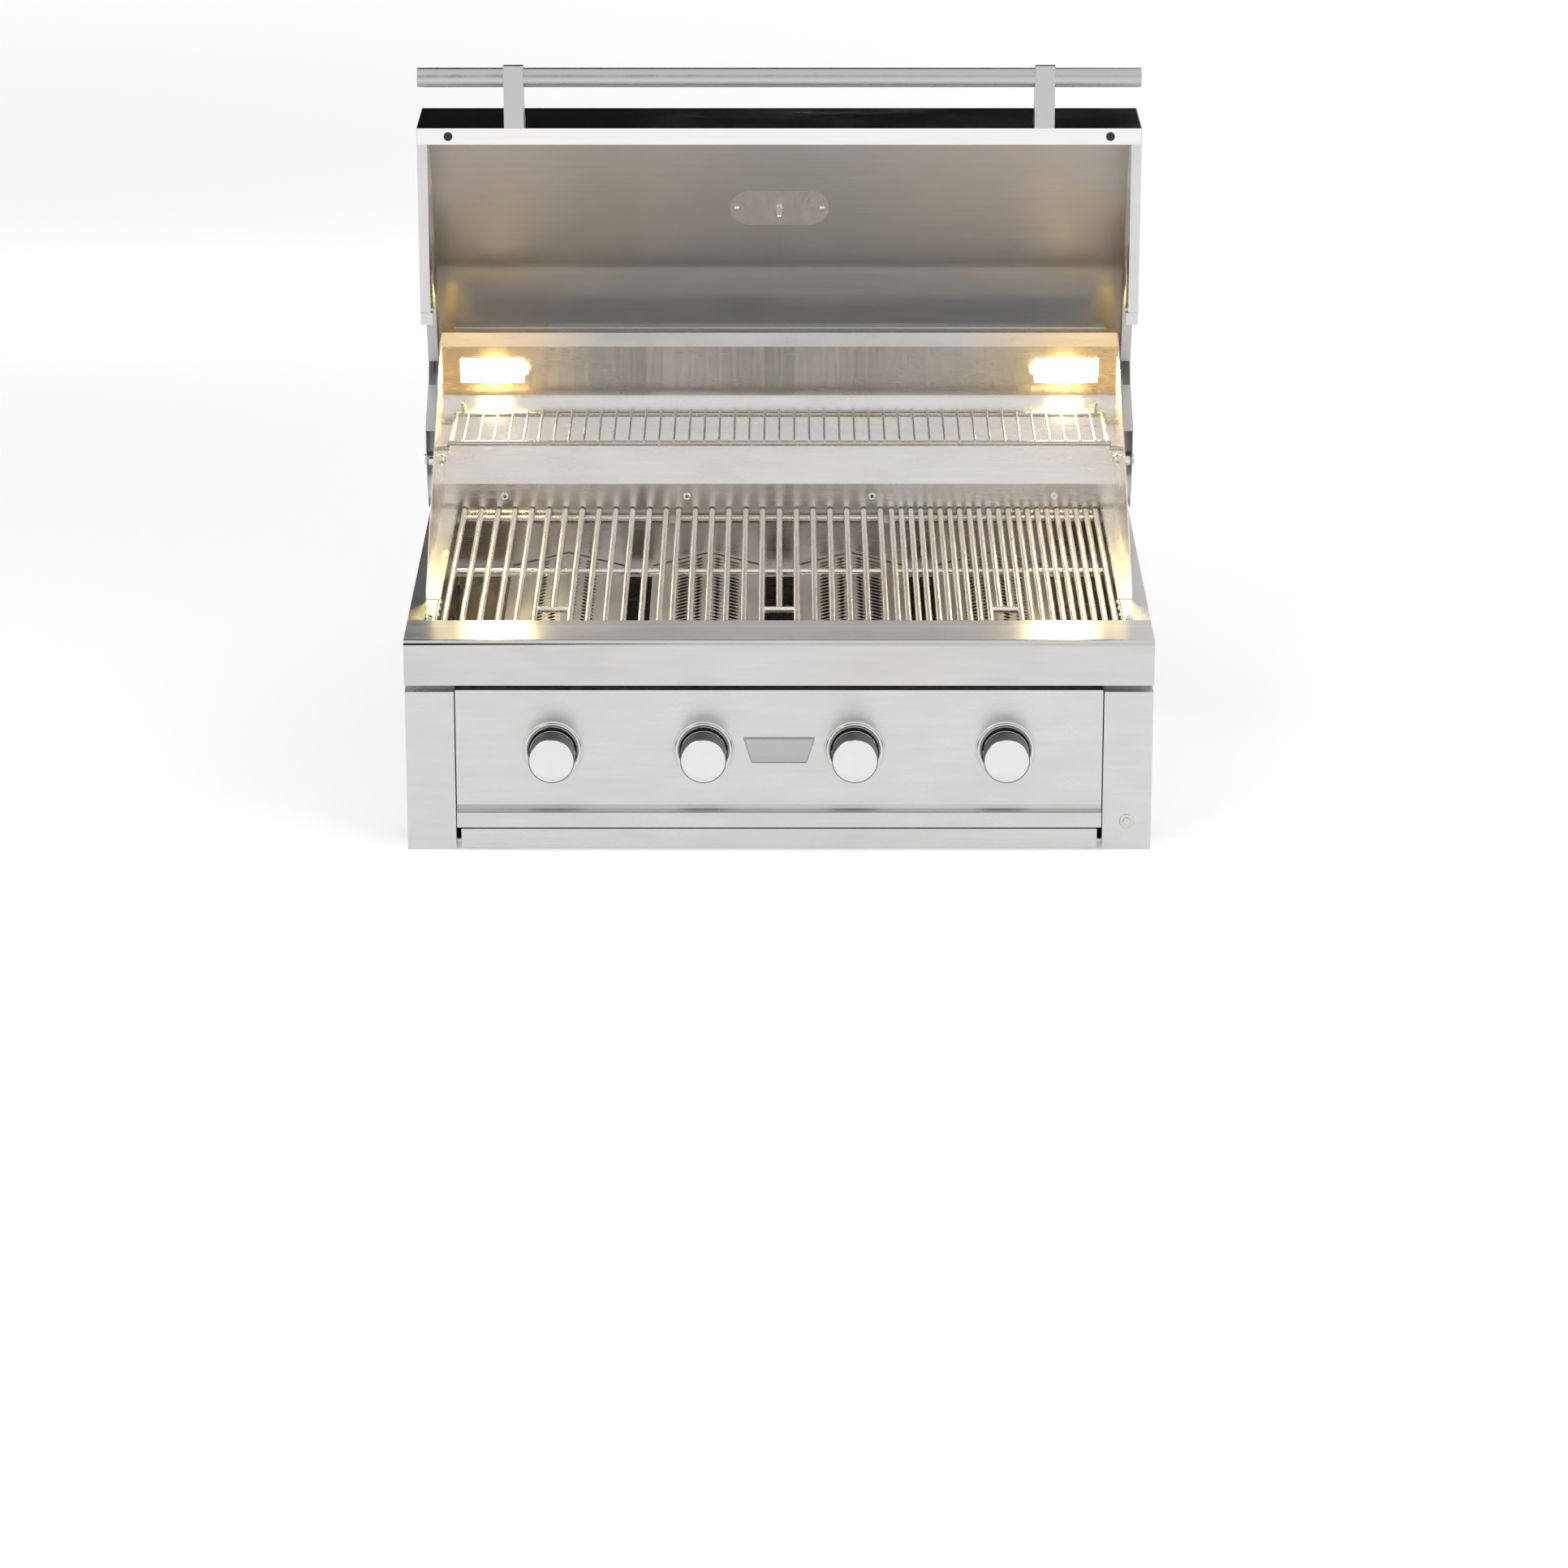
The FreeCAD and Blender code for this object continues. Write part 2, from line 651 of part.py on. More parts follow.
def opened(points):
    """Closed outline points turned a quarter turn about the pivot, to where they are when open."""
    return [
        (f"pivot_y + ({rise}) - pivot_rise", f"deck_height + pivot_rise - (({y}) - pivot_y)")
        for y, rise in points
    ]


HOOD_INSIDE = "hood_half - hood_sheet"
LINER_GAP = 10


def panel_line():
    """Middle of the hood's front panel, closed, and the panel's slope in degrees."""
    run = size_of("crease_y - hood_front_y")
    climb = size_of("crease_rise - skirt_rise")
    return math.degrees(math.atan2(climb, run))


def on_panel(item, depth="0"):
    """Set a piece built square to +Y onto the open hood's front panel, where the gauge is."""
    angle = panel_line()
    share = 0.6
    y = f"hood_front_y + {share} * (crease_y - hood_front_y)"
    rise = f"skirt_rise + {share} * (crease_rise - skirt_rise)"
    back, up = opened([(y, rise)])[0]
    turn = FreeCAD.Rotation(FreeCAD.Vector(1, 0, 0), 180 + angle)
    item.Placement = FreeCAD.Placement(FreeCAD.Vector(), turn)
    bind(item, "Placement.Base.y", seat("y", back))
    bind(item, "Placement.Base.z", up)
    return item


def make_hood_shell():
    """The outer skin from the lip, up the skirt and over the top, with a hole for the gauge."""
    path = [
        ("hood_front_y + 18.8", "1.5"),
        ("hood_front_y", "1.5"),
        ("hood_front_y", "skirt_rise"),
        ("crease_y", "crease_rise"),
        ("crown_y", "crown_rise"),
        ("hood_back_y", "hood_back_rise"),
        ("hood_back_y", "hood_back_rise - 14"),
    ]
    skin = bent_sheet("x", (f"-({HOOD_INSIDE})", HOOD_INSIDE), opened(path), "hood_sheet")
    hole = on_panel(new("Part::Compound", "gauge_hole"))
    hole.Links = [gauge_drill("6.2", "-4", "12")]
    keep("hood_shell", without(skin, [hole]))


def gauge_drill(radius, start, length):
    """A cylinder on the gauge's own axis."""
    item = new("Part::Cylinder", "drill")
    item.Placement = FreeCAD.Placement(FreeCAD.Vector(), TURN["y"])
    bind(item, "Radius", radius)
    bind(item, "Height", length)
    bind(item, "Placement.Base.y", start)
    return item


def make_hood_liner():
    """The inner skin, held off the outer one."""
    path = [
        (f"hood_front_y + {LINER_GAP}", "6"),
        (f"hood_front_y + {LINER_GAP}", f"skirt_rise - {0.63 * LINER_GAP}"),
        (f"crease_y + {0.35 * LINER_GAP}", f"crease_rise - {0.94 * LINER_GAP}"),
        (f"crown_y + {0.27 * LINER_GAP}", f"crown_rise - {0.97 * LINER_GAP}"),
        ("hood_back_y - 4", f"hood_back_rise - {1.05 * LINER_GAP}"),
    ]
    skin = bent_sheet("x", ("-(hood_half - 7)", "hood_half - 7"), opened(path), "hood_sheet")
    hole = on_panel(new("Part::Compound", "gauge_hole"))
    hole.Links = [gauge_drill("6.2", str(LINER_GAP - 5), "12")]
    keep("hood_liner", without(skin, [hole]))


def make_hood_sides():
    """A plate at each end of the hood, its lower edge shaped to clear the side wall."""
    edge = [("270", "1.5"), ("290", "103"), ("361", "132"), ("386", "118"), ("423", "48"), ("452", "48")]
    outline = [
        ("hood_front_y", "1.5"),
        ("hood_front_y", "skirt_rise"),
        ("crease_y", "crease_rise"),
        ("crown_y", "crown_rise"),
        ("hood_back_y", "hood_back_rise"),
        ("525", "83"),
        ("518", "78"),
        *reversed(edge),
    ]
    flange = ("hood_half - 11.7", HOOD_INSIDE)

    def side():
        pieces = [bar("x", (HOOD_INSIDE, "hood_half"), opened(outline))]
        folds = [(("hood_front_y + 19", "1.5"), edge[0]), (edge[1], edge[2]), (edge[3], edge[4])]
        for start, end in folds:
            rim = [start, end, (end[0], f"{end[1]} + hood_sheet"), (start[0], f"{start[1]} + hood_sheet")]
            pieces.append(bar("x", flange, opened(rim)))
        tab = [("272", "8"), ("286", "8"), ("286", "18"), ("272", "18")]
        pieces.append(bar("x", ("hood_half - 14", "hood_half"), opened(tab)))
        pivot = (HOOD_INSIDE + " - 1", "pivot_y", "deck_height + pivot_rise")
        hole = rod("x", "bolt_radius + fit_gap", pivot, "4")
        return without(joined(pieces), [hole])

    keep("hood_side_right", side())
    keep("hood_side_left", mirrored(side()))


def make_handle():
    """A tube on two posts, with a cap in each end."""
    axis_y, axis_z = opened([("handle_reach", "handle_rise")])[0]
    tube = rod("x", "handle_radius", ("-handle_half", axis_y, axis_z), "2 * handle_half")
    bore = rod("x", "handle_radius - 1.5", ("-handle_half - 1", axis_y, axis_z), "2 * handle_half + 2")
    keep("handle_tube", without(tube, [bore]))
    caps = []
    for name, side in SIDES:
        start = "handle_half" if side > 0 else "-handle_half - 2"
        plug = "handle_half - 8" if side > 0 else "-handle_half"
        disc = rod("x", "handle_radius", (start, axis_y, axis_z), "2")
        spigot = rod("x", "handle_radius - 1.5", (plug, axis_y, axis_z), "8")
        caps.append(joined([disc, spigot]))
    keep("handle_caps", group(caps))
    outline = [
        ("handle_reach - post_reach", "0.5"),
        ("handle_reach - post_reach", "handle_rise - 3.5"),
        ("handle_reach - 7.5", "handle_rise + 15"),
        ("handle_reach + 14", "handle_rise + 15"),
        ("hood_front_y - 12", "handle_rise + 22"),
        ("hood_front_y", "handle_rise + 34"),
        ("hood_front_y", "1.5"),
        ("hood_front_y - 10", "0.5"),
    ]
    for name, side in SIDES:
        middle = f"{side} * handle_post_x"
        post = bar("x", (f"{middle} - post_half", f"{middle} + post_half"), opened(outline))
        hole = rod("x", "handle_radius", (f"{middle} - post_half - 1", axis_y, axis_z), "2 * post_half + 2")
        keep(f"handle_post_{name}", without(post, [hole]))


def make_hood_bumpers():
    feet = []
    for name, side in SIDES:
        y, z = opened([("hood_front_y + 9.4", "0.4")])[0]
        feet.append(rod("y", "5", (f"{side} * 376", y, z), "1.1"))
    keep("hood_bumpers", group(feet))


def make_gauge():
    """The thermometer through the front panel, its inner plate, and the plate's two screws."""
    inner = LINER_GAP + 1
    outline = [
        ("-12", "0"),
        ("-12", "36"),
        ("-9", "38"),
        ("0", "38"),
        ("0", "6"),
        (str(inner), "6"),
        (str(inner), "3.2"),
        (str(inner + 20), "3.2"),
        (str(inner + 20), "0"),
    ]
    dial = on_panel(turned_local("thermometer", outline))
    keep("thermometer", dial)
    half_gap, radius, thick = 32.5, 25.5, "steel"
    start = str(inner)
    ends = []
    for name, side in SIDES:
        disc = gauge_drill(str(radius), start, thick)
        disc.Placement.Base.x = side * half_gap
        ends.append(disc)
    middle = new("Part::Box", "middle")
    middle.Placement.Base = FreeCAD.Vector(-half_gap, 0, -radius)
    bind(middle, "Length", 2 * half_gap)
    bind(middle, "Width", thick)
    bind(middle, "Height", 2 * radius)
    bind(middle, "Placement.Base.y", start)
    plate = without(joined([middle, *ends]), [gauge_drill("3.25", str(inner - 1), "4")])
    keep("gauge_plate", on_panel(plate))
    screws = []
    for name, side in SIDES:
        head = gauge_drill("4", f"{inner} + steel", "2.6")
        head.Placement.Base.x = side * 49.8
        screws.append(head)
    keep("gauge_screws", on_panel(group(screws)))


# ---- loose and moving pieces ----------------------------------------------------------------

def make_grate(label, middle, count, pitch, short):
    """Rods welded on two rests, with a gap at the front where a finger lifts the grate."""
    height = "grate_height"
    rest_height = "grate_height - 2 * rod_radius + 0.5"
    front, back = "deck_strip + 1.6", "deck_strip + opening_depth - 5"
    lift = "deck_strip + 52"
    pieces = []
    places = [f"{middle} + {index - (count - 1) / 2} * {pitch}" for index in range(count)]
    for index, place in enumerate(places):
        start = lift if index in short else front
        pieces.append(rod("y", "rod_radius", (place, start, height), f"{back} - ({start})"))
    width = f"{count - 1} * {pitch}"
    for rest in (f"{front} + 5", "300", f"{back} - 6"):
        pieces.append(rod("x", "rod_radius", (places[0], rest, rest_height), width))
    reach = len(short) + 1
    pieces.append(rod("x", "rod_radius", (places[short[0] - 1], lift, height), f"{reach} * {pitch}"))
    keep(label, joined(pieces))


def make_grates():
    make_grate("grate_left", "-253.4", 13, "wide_pitch", [6])
    make_grate("grate_middle", "0", 13, "wide_pitch", [6])
    make_grate("grate_right", "253.4", 22, "fine_pitch", [10, 11])


def make_warming_rack():
    """Two rails, two end rods and a row of wires, its rear corners turned up as stops."""
    depth = "rack_back_y - rack_front_y"
    pieces = []
    for rail in ("rack_front_y", "rack_back_y"):
        pieces.append(rod("x", "rail_radius", ("-rack_half", rail, "rack_height"), "2 * rack_half"))
    for name, side in SIDES:
        end, hook = f"{side} * (rack_half - 4)", f"{side} * (rack_half - 12)"
        pieces.append(rod("y", "rail_radius - 0.3", (end, "rack_front_y", "rack_height"), depth))
        pieces.append(rod("z", "rail_radius - 0.5", (hook, "rack_back_y", "rack_height"), "14"))
    count = 43
    for index in range(count):
        place = f"{index - (count - 1) / 2} * rack_pitch"
        start = ("rack_front_y - 2", "rack_height + rail_radius + wire_radius - 0.8")
        pieces.append(rod("y", "wire_radius", (place, *start), f"{depth} + 4"))
    keep("warming_rack", joined(pieces))


def make_drip_tray():
    front, back = ("panel_setback + 6", "tray_back_y")
    across = ("-tray_half", "tray_half")
    outer = block(across, (front, back), ("3.6", "26"))
    within = ("-(tray_half - steel)", "tray_half - steel")
    hollow = block(within, (f"{front} + steel", f"{back} - steel"), ("3.6 + steel", "27"))
    keep("drip_tray", without(outer, [hollow]))
    face = ("-(panel_half - 4.6)", "panel_half - 4.6")
    bottom, top, near, far = "3.6", "rail_low - 2.6", "panel_setback - 3", "panel_setback + 6"
    path = [(far, bottom), (near, bottom), (near, top), (far, top)]
    keep("tray_front", bent_sheet("x", face, path))


def make_light_button():
    outline = [
        ("panel_setback - 3.4", "0"),
        ("panel_setback - 3.4", "button_radius - 0.6"),
        ("panel_setback - 2.8", "button_radius"),
        ("panel_setback + 16", "button_radius"),
        ("panel_setback + 16", "0"),
    ]
    keep("light_button", turned("light_button", outline, ("button_x", "0", "button_height")))


def make_knobs():
    """Each knob sits on its own valve stem and turns on it; both push in together."""
    bore = "stem_radius + fit_gap"
    knob = [
        ("knob_face_y", "0"),
        ("knob_face_y", "knob_radius - 2"),
        ("knob_face_y + 2", "knob_radius"),
        ("-6", "knob_radius"),
        ("-6", "knob_radius - 1.2"),
        ("-3", "knob_radius - 1.2"),
        ("-3", "knob_radius"),
        ("knob_back_y", "knob_radius"),
        ("knob_back_y", bore),
        ("-14", bore),
        ("-14", "0"),
    ]
    stem = [("-13.6", "0"), ("-13.6", "stem_radius"), ("45", "stem_radius"), ("45", "0")]
    for number, step in enumerate(KNOBS, start=1):
        place = (knob_x(step), "0", "knob_height")
        keep(f"knob_{number}", turned(f"knob_{number}", knob, place))
        keep(f"valve_stem_{number}", turned(f"valve_stem_{number}", stem, place))


MAKERS = [
    make_deck_front, make_control_panel, make_lower_rail, make_front_posts, make_button_bezel,
    make_knob_bezels, make_badge_plate, make_side_panels, make_back_panel, make_side_walls,
    make_rear_liner, make_lamps, make_firebox, make_burners, make_flame_tamers, make_gas_train,
    make_fixings, make_tray_runners, make_hood_shell, make_hood_liner, make_hood_sides, make_handle,
    make_hood_bumpers, make_gauge, make_grates, make_warming_rack, make_drip_tray,
    make_light_button, make_knobs,
]


def check():
    """Stop if any object failed or any sub-part isn't a valid solid."""
    for item in doc.Objects:
        if {"Invalid", "Error"} & set(item.State):
            raise RuntimeError(f"{item.Name} failed: {item.State}")
    for label, item in parts.items():
        shape = item.Shape
        if shape.isNull() or not shape.isValid() or not shape.Solids:
            raise RuntimeError(f"{label} has no valid solid")


def main():
    for make in MAKERS:
        make()
    doc.recompute()
    check()
    os.makedirs("parts", exist_ok=True)
    box = FreeCAD.BoundBox()
    for label, item in parts.items():
        item.Shape.exportStep(os.path.join("parts", label + ".step"))
        box.add(item.Shape.BoundBox)
        print(f"{label}: {len(item.Shape.Solids)} solid(s), {item.Shape.Volume / 1000:.1f} cm3")
    print(f"{len(parts)} sub-parts, x {box.XMin:.1f} {box.XMax:.1f}, y {box.YMin:.2f} {box.YMax:.2f}")
    print(f"z {box.ZMin:.2f} {box.ZMax:.1f}")


main()
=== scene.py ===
"""Looks of a built-in gas grill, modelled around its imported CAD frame."""

import math

import bmesh
import bpy
from mathutils import Matrix, Vector


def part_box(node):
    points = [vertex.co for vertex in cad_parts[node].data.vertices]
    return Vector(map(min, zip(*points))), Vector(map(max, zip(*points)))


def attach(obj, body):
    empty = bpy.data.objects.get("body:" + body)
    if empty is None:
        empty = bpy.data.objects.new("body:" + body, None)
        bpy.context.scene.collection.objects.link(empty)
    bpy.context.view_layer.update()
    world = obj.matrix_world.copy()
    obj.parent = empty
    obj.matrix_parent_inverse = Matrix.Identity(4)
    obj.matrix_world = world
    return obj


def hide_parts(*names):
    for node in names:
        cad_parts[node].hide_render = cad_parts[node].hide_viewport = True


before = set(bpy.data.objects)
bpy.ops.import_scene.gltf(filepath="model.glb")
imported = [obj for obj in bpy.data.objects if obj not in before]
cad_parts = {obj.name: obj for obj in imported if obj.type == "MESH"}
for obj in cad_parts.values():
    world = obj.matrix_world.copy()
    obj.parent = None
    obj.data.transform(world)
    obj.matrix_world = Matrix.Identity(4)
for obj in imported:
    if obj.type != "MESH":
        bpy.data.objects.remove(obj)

bl_info = {
    "name": "Built-in Gas Grill",
    "version": (1, 0, 0),
    "blender": (4, 5, 0),
    "location": "View3D > Sidebar > Grill",
    "description": "Finishes and detailed pieces for a built-in gas grill",
    "category": "Object",
}

MM = 0.001
Y_AXIS = Vector((0, 1, 0))
Z_AXIS = Vector((0, 0, 1))


# ---- places read from the frame -------------------------------------------------------------

def low(node):
    return Vector(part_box(node)[0])


def high(node):
    return Vector(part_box(node)[1])


def middle(node):
    return (low(node) + high(node)) / 2


KNOB_NUMBERS = (1, 2, 3, 4)
DECK_TOP = high("deck_front").z


# ---- settings -------------------------------------------------------------------------------

def colour_setting(name, description, default):
    return bpy.props.FloatVectorProperty(
        name=name, description=description, subtype="COLOR", size=3, min=0, max=1, default=default
    )


def length_setting(name, description, default):
    return bpy.props.FloatProperty(
        name=name, description=description, subtype="DISTANCE", unit="LENGTH", min=0, default=default
    )


def share_setting(name, description, default):
    return bpy.props.FloatProperty(
        name=name, description=description, subtype="FACTOR", min=0, max=1, default=default
    )


def power_setting(name, description, default):
    return bpy.props.FloatProperty(
        name=name, description=description, subtype="POWER", min=0, default=default
    )


class GrillFinish(bpy.types.PropertyGroup):
    """Colours and strengths of the grill's finishes."""

    panel: colour_setting("Panel steel", "Brushed steel of the front", (0.622, 0.616, 0.606))
    deck: colour_setting("Deck steel", "Brushed steel of the deck and its lip", (0.61, 0.60, 0.59))
    hood: colour_setting("Hood steel", "Smooth steel of the hood's outer skin", (0.755, 0.74, 0.73))
    liner: colour_setting("Liner steel", "Steel behind and beside the grates", (0.70, 0.685, 0.665))
    hood_liner: colour_setting("Hood liner", "Heat-tinted steel inside the hood", (0.495, 0.485, 0.472))
    bar: colour_setting("Grate steel", "Round bar of the grates and the rack", (0.87, 0.84, 0.79))
    polished: colour_setting("Polished steel", "Knobs and screws", (0.72, 0.71, 0.70))
    satin: colour_setting("Satin steel", "Handle, its posts and the bezels", (0.50, 0.49, 0.48))
    burner: colour_setting("Burner steel", "Heat-darkened tube", (0.15, 0.13, 0.11))
    tamer: colour_setting("Tamer steel", "Plates over the burners", (0.78, 0.75, 0.71))
    glow: colour_setting("Lamp light", "Colour of the halogen lamps", (1.0, 0.86, 0.42))
    lamp_strength: bpy.props.FloatProperty(
        name="Lamp strength", description="Brightness of the lit lenses", min=0, default=70.0
    )
    spill: power_setting("Lamp spill", "Power of the light that each lamp throws all round", 0.06)
    beam: power_setting("Lamp beam", "Power of the beam that each lamp throws down and forward", 1.3)
    spill_colour: colour_setting("Spill colour", "Colour of the lamps' spill and beam", (1.0, 0.72, 0.36))
    brushing: share_setting("Brushing", "How strongly the brushing shows", 0.04)
    smudges: share_setting("Smudges", "How strongly wiped marks show", 0.06)


class GrillDetail(bpy.types.PropertyGroup):
    """Sizes of the modelled details."""

    knurls: bpy.props.IntProperty(
        name="Knurls", description="Grooves round a knob's skirt", min=12, default=96
    )
    slot_length: length_setting("Slot length", "Length of a flame tamer's slot", 15 * MM)
    slot_pitch: length_setting("Slot pitch", "Distance between slots along a tamer", 13 * MM)


# ---- shaders --------------------------------------------------------------------------------

QUARTER_TURN = 0.25


class Shader:
    """One material's node tree, built from the object's own coordinates."""

    def __init__(self, name, colour, metallic, roughness):
        self.material = bpy.data.materials.new(name)
        self.material.use_nodes = True
        self.tree = self.material.node_tree
        self.surface = next(n for n in self.tree.nodes if n.type == "BSDF_PRINCIPLED")
        self.surface.inputs["Base Color"].default_value = (*colour, 1)
        self.surface.inputs["Metallic"].default_value = metallic
        self.surface.inputs["Roughness"].default_value = roughness
        self.coords = self.node("ShaderNodeTexCoord").outputs["Object"]

    def node(self, kind, **values):
        made = self.tree.nodes.new(kind)
        for key, value in values.items():
            setattr(made, key, value)
        return made

    def link(self, source, target):
        self.tree.links.new(source, target)

    def mapped(self, scale):
        mapping = self.node("ShaderNodeMapping")
        mapping.inputs["Scale"].default_value = scale
        self.link(self.coords, mapping.inputs["Vector"])
        return mapping.outputs["Vector"]

    def noise(self, scale, detail=2.0, rough=0.5):
        """Noise with its own scale on each axis, as a value from 0 to 1."""
        texture = self.node("ShaderNodeTexNoise")
        texture.inputs["Scale"].default_value = 1
        texture.inputs["Detail"].default_value = detail
        texture.inputs["Roughness"].default_value = rough
        self.link(self.mapped(scale), texture.inputs["Vector"])
        return texture.outputs["Fac"]

    def ranged(self, value, low_in, high_in, low_out, high_out):
        """A value moved from one range to another, and held at its ends."""
        ramp = self.node("ShaderNodeMapRange")
        ends = {"From Min": low_in, "From Max": high_in, "To Min": low_out, "To Max": high_out}
        for key, number in ends.items():
            ramp.inputs[key].default_value = number
        self.link(value, ramp.inputs["Value"])
        return ramp.outputs["Result"]

    def maths(self, operation, first, second=0):
        made = self.node("ShaderNodeMath", operation=operation)
        for socket, value in zip(made.inputs, (first, second)):
            if isinstance(value, (int, float)):
                socket.default_value = value
            else:
                self.link(value, socket)
        return made.outputs["Value"]

    def mix(self, share, first, second):
        """Two colours mixed by a value; each is a colour or a socket."""
        made = self.node("ShaderNodeMix", data_type="RGBA")
        self.link(share, made.inputs["Factor"])
        for key, value in (("A", first), ("B", second)):
            socket = next(s for s in made.inputs if s.name == key and s.type == "RGBA")
            if isinstance(value, bpy.types.NodeSocket):
                self.link(value, socket)
            else:
                socket.default_value = (*value, 1)
        return next(s for s in made.outputs if s.type == "RGBA")

    def axis(self, letter):
        parts = self.node("ShaderNodeSeparateXYZ")
        self.link(self.coords, parts.inputs["Vector"])
        return parts.outputs[letter.upper()]

    def from_middle(self):
        """How far out from the grill's middle line, to either side."""
        return self.maths("ABSOLUTE", self.axis("x"))

    def bump(self, height, strength, distance=0.0002):
        made = self.node("ShaderNodeBump")
        made.inputs["Strength"].default_value = strength
        made.inputs["Distance"].default_value = distance
        self.link(height, made.inputs["Height"])
        self.link(made.outputs["Normal"], self.surface.inputs["Normal"])

    def base(self):
        """The socket that feeds the surface's colour so far."""
        return self.surface.inputs["Base Color"].links[0].from_socket

    def colour(self, socket):
        self.link(socket, self.surface.inputs["Base Color"])

    def rough(self, socket):
        self.link(socket, self.surface.inputs["Roughness"])

    def shaded(self, level):
        """The colour made darker or lighter by a value."""
        made = self.node("ShaderNodeMix", data_type="RGBA", blend_type="MULTIPLY")
        made.inputs["Factor"].default_value = 1
        grey = self.node("ShaderNodeCombineColor")
        for key in ("Red", "Green", "Blue"):
            self.link(level, grey.inputs[key])
        first, second = [s for s in made.inputs if s.type == "RGBA"]
        self.link(self.base(), first)
        self.link(grey.outputs["Color"], second)
        self.colour(next(s for s in made.outputs if s.type == "RGBA"))
        return self

    def stretched(self, letter, amount):
        """Reflections drawn out across a brushing direction."""
        direction = self.node("ShaderNodeCombineXYZ")
        direction.inputs[letter.upper()].default_value = 1
        self.surface.inputs["Anisotropic"].default_value = amount
        self.surface.inputs["Anisotropic Rotation"].default_value = QUARTER_TURN
        self.link(direction.outputs["Vector"], self.surface.inputs["Tangent"])


def scaled(colour, by):
    return tuple(min(1.0, channel * by) for channel in colour)


def along(letter, fine, coarse):
    """A noise scale that is coarse along one axis and fine on the others."""
    return tuple(coarse if axis == letter else fine for axis in "xyz")


def brushed(name, colour, letter, roughness=0.3, brushing=0.04, smudges=0.06, stretch=0.6):
    """Brushed sheet: fine scratches along one axis, short bands, and soft cloudy marks."""
    shader = Shader(name, colour, 1.0, roughness)
    scratches = shader.noise(along(letter, 900, 14), 3, 0.6)
    bands = shader.noise(along(letter, 150, 9), 2)
    marks = shader.noise(along(letter, 32, 12), 4, 0.62)
    clouds = shader.noise((7, 7, 9), 3, 0.55)
    share = 0.55
    fine, coarse = shader.maths("MULTIPLY", scratches, share), shader.maths("MULTIPLY", bands, 1 - share)
    streaks = shader.maths("ADD", fine, coarse)
    darker, lighter = scaled(colour, 1 - brushing), scaled(colour, 1 + brushing)
    base = shader.mix(shader.ranged(streaks, 0.35, 0.65, 0, 1), darker, lighter)
    wiped = shader.mix(shader.ranged(marks, 0.42, 0.72, 0, smudges * 5), base, scaled(colour, 0.86))
    warm = (colour[0] * 0.99, colour[1] * 0.965, colour[2] * 0.955)
    shader.colour(shader.mix(shader.ranged(clouds, 0.4, 0.7, 0, min(1, smudges * 9)), wiped, warm))
    hazed = shader.ranged(marks, 0.3, 0.75, roughness - 0.04, roughness + 0.06)
    shader.rough(shader.maths("ADD", hazed, shader.ranged(streaks, 0.35, 0.65, -0.02, 0.02)))
    shader.bump(scratches, 0.06, 0.0001)
    shader.stretched(letter, stretch)
    return shader


def polished(name, colour, roughness=0.1, haze=0.05, hairs=0.03):
    """Polished steel with faint hairlines and haze."""
    shader = Shader(name, colour, 1.0, roughness)
    cloudy = shader.noise((60, 60, 60), 4, 0.6)
    shader.colour(shader.mix(cloudy, scaled(colour, 1 - haze), scaled(colour, 1 + haze)))
    shader.rough(shader.ranged(cloudy, 0.3, 0.7, roughness * 0.85, roughness * 1.2))
    if hairs:
        shader.bump(shader.noise((1400, 1400, 60), 2), hairs, 0.00005)
    return shader


DECK_EDGE_RADIUS = 7 * MM
DECK_SEAM_BACK = 56 * MM


def rolled_edge_with_painted_light(shader):
    """The deck's finish: a rounded front edge that mirrors sharply, a top face painted lighter than the lip
    as painted light, and a painted highlight along a thin seam.
    """
    front, top, radius = low("deck_front").y, DECK_TOP, DECK_EDGE_RADIUS
    back = shader.axis("y")
    above = shader.ranged(shader.axis("z"), top - radius * 1.05, top - radius * 0.9, 0, 1)
    ahead = shader.ranged(back, front + radius * 0.8, front + radius, 1, 0)
    smoothed = shader.maths("MULTIPLY", shader.maths("MULTIPLY", above, ahead), 0.75)
    rough = shader.surface.inputs["Roughness"].links[0].from_socket
    shader.rough(shader.maths("MULTIPLY", rough, shader.maths("SUBTRACT", 1, smoothed)))
    seam = shader.maths("ABSOLUTE", shader.maths("SUBTRACT", back, front + DECK_SEAM_BACK))
    # Painted highlight: a thin line along the seam is painted lighter.
    shader.shaded(shader.ranged(seam, 0.4 * MM, 1 * MM, 1.4, 1))
    # Painted light: the top face behind the rounded edge is painted lighter than the lip.
    return shader.shaded(shader.ranged(back, front + radius, front + radius * 1.2, 1, 1.22))


def turned_face(name, colour):
    """Steel faced off on a lathe: fine rings whose glints fan out from the middle."""
    shader = polished(name, colour, 0.22, 0.015, 0)
    rings = shader.node("ShaderNodeTangent", direction_type="RADIAL", axis="Y")
    shader.surface.inputs["Anisotropic"].default_value = 0.7
    shader.surface.inputs["Anisotropic Rotation"].default_value = QUARTER_TURN
    shader.link(rings.outputs["Tangent"], shader.surface.inputs["Tangent"])
    return shader


def round_bar(name, colour):
    """Drawn bar with heat colour that deepens in patches."""
    shader = Shader(name, colour, 1.0, 0.26)
    patches = shader.noise((18, 9, 18), 3)
    drawn = shader.noise((700, 12, 700), 2)
    warm = (colour[0] * 0.86, colour[1] * 0.78, colour[2] * 0.66)
    shader.colour(shader.mix(shader.ranged(patches, 0.45, 0.75, 0, 0.8), colour, warm))
    shader.rough(shader.ranged(drawn, 0.3, 0.7, 0.2, 0.34))
    shader.bump(drawn, 0.08, 0.0001)
    return shader


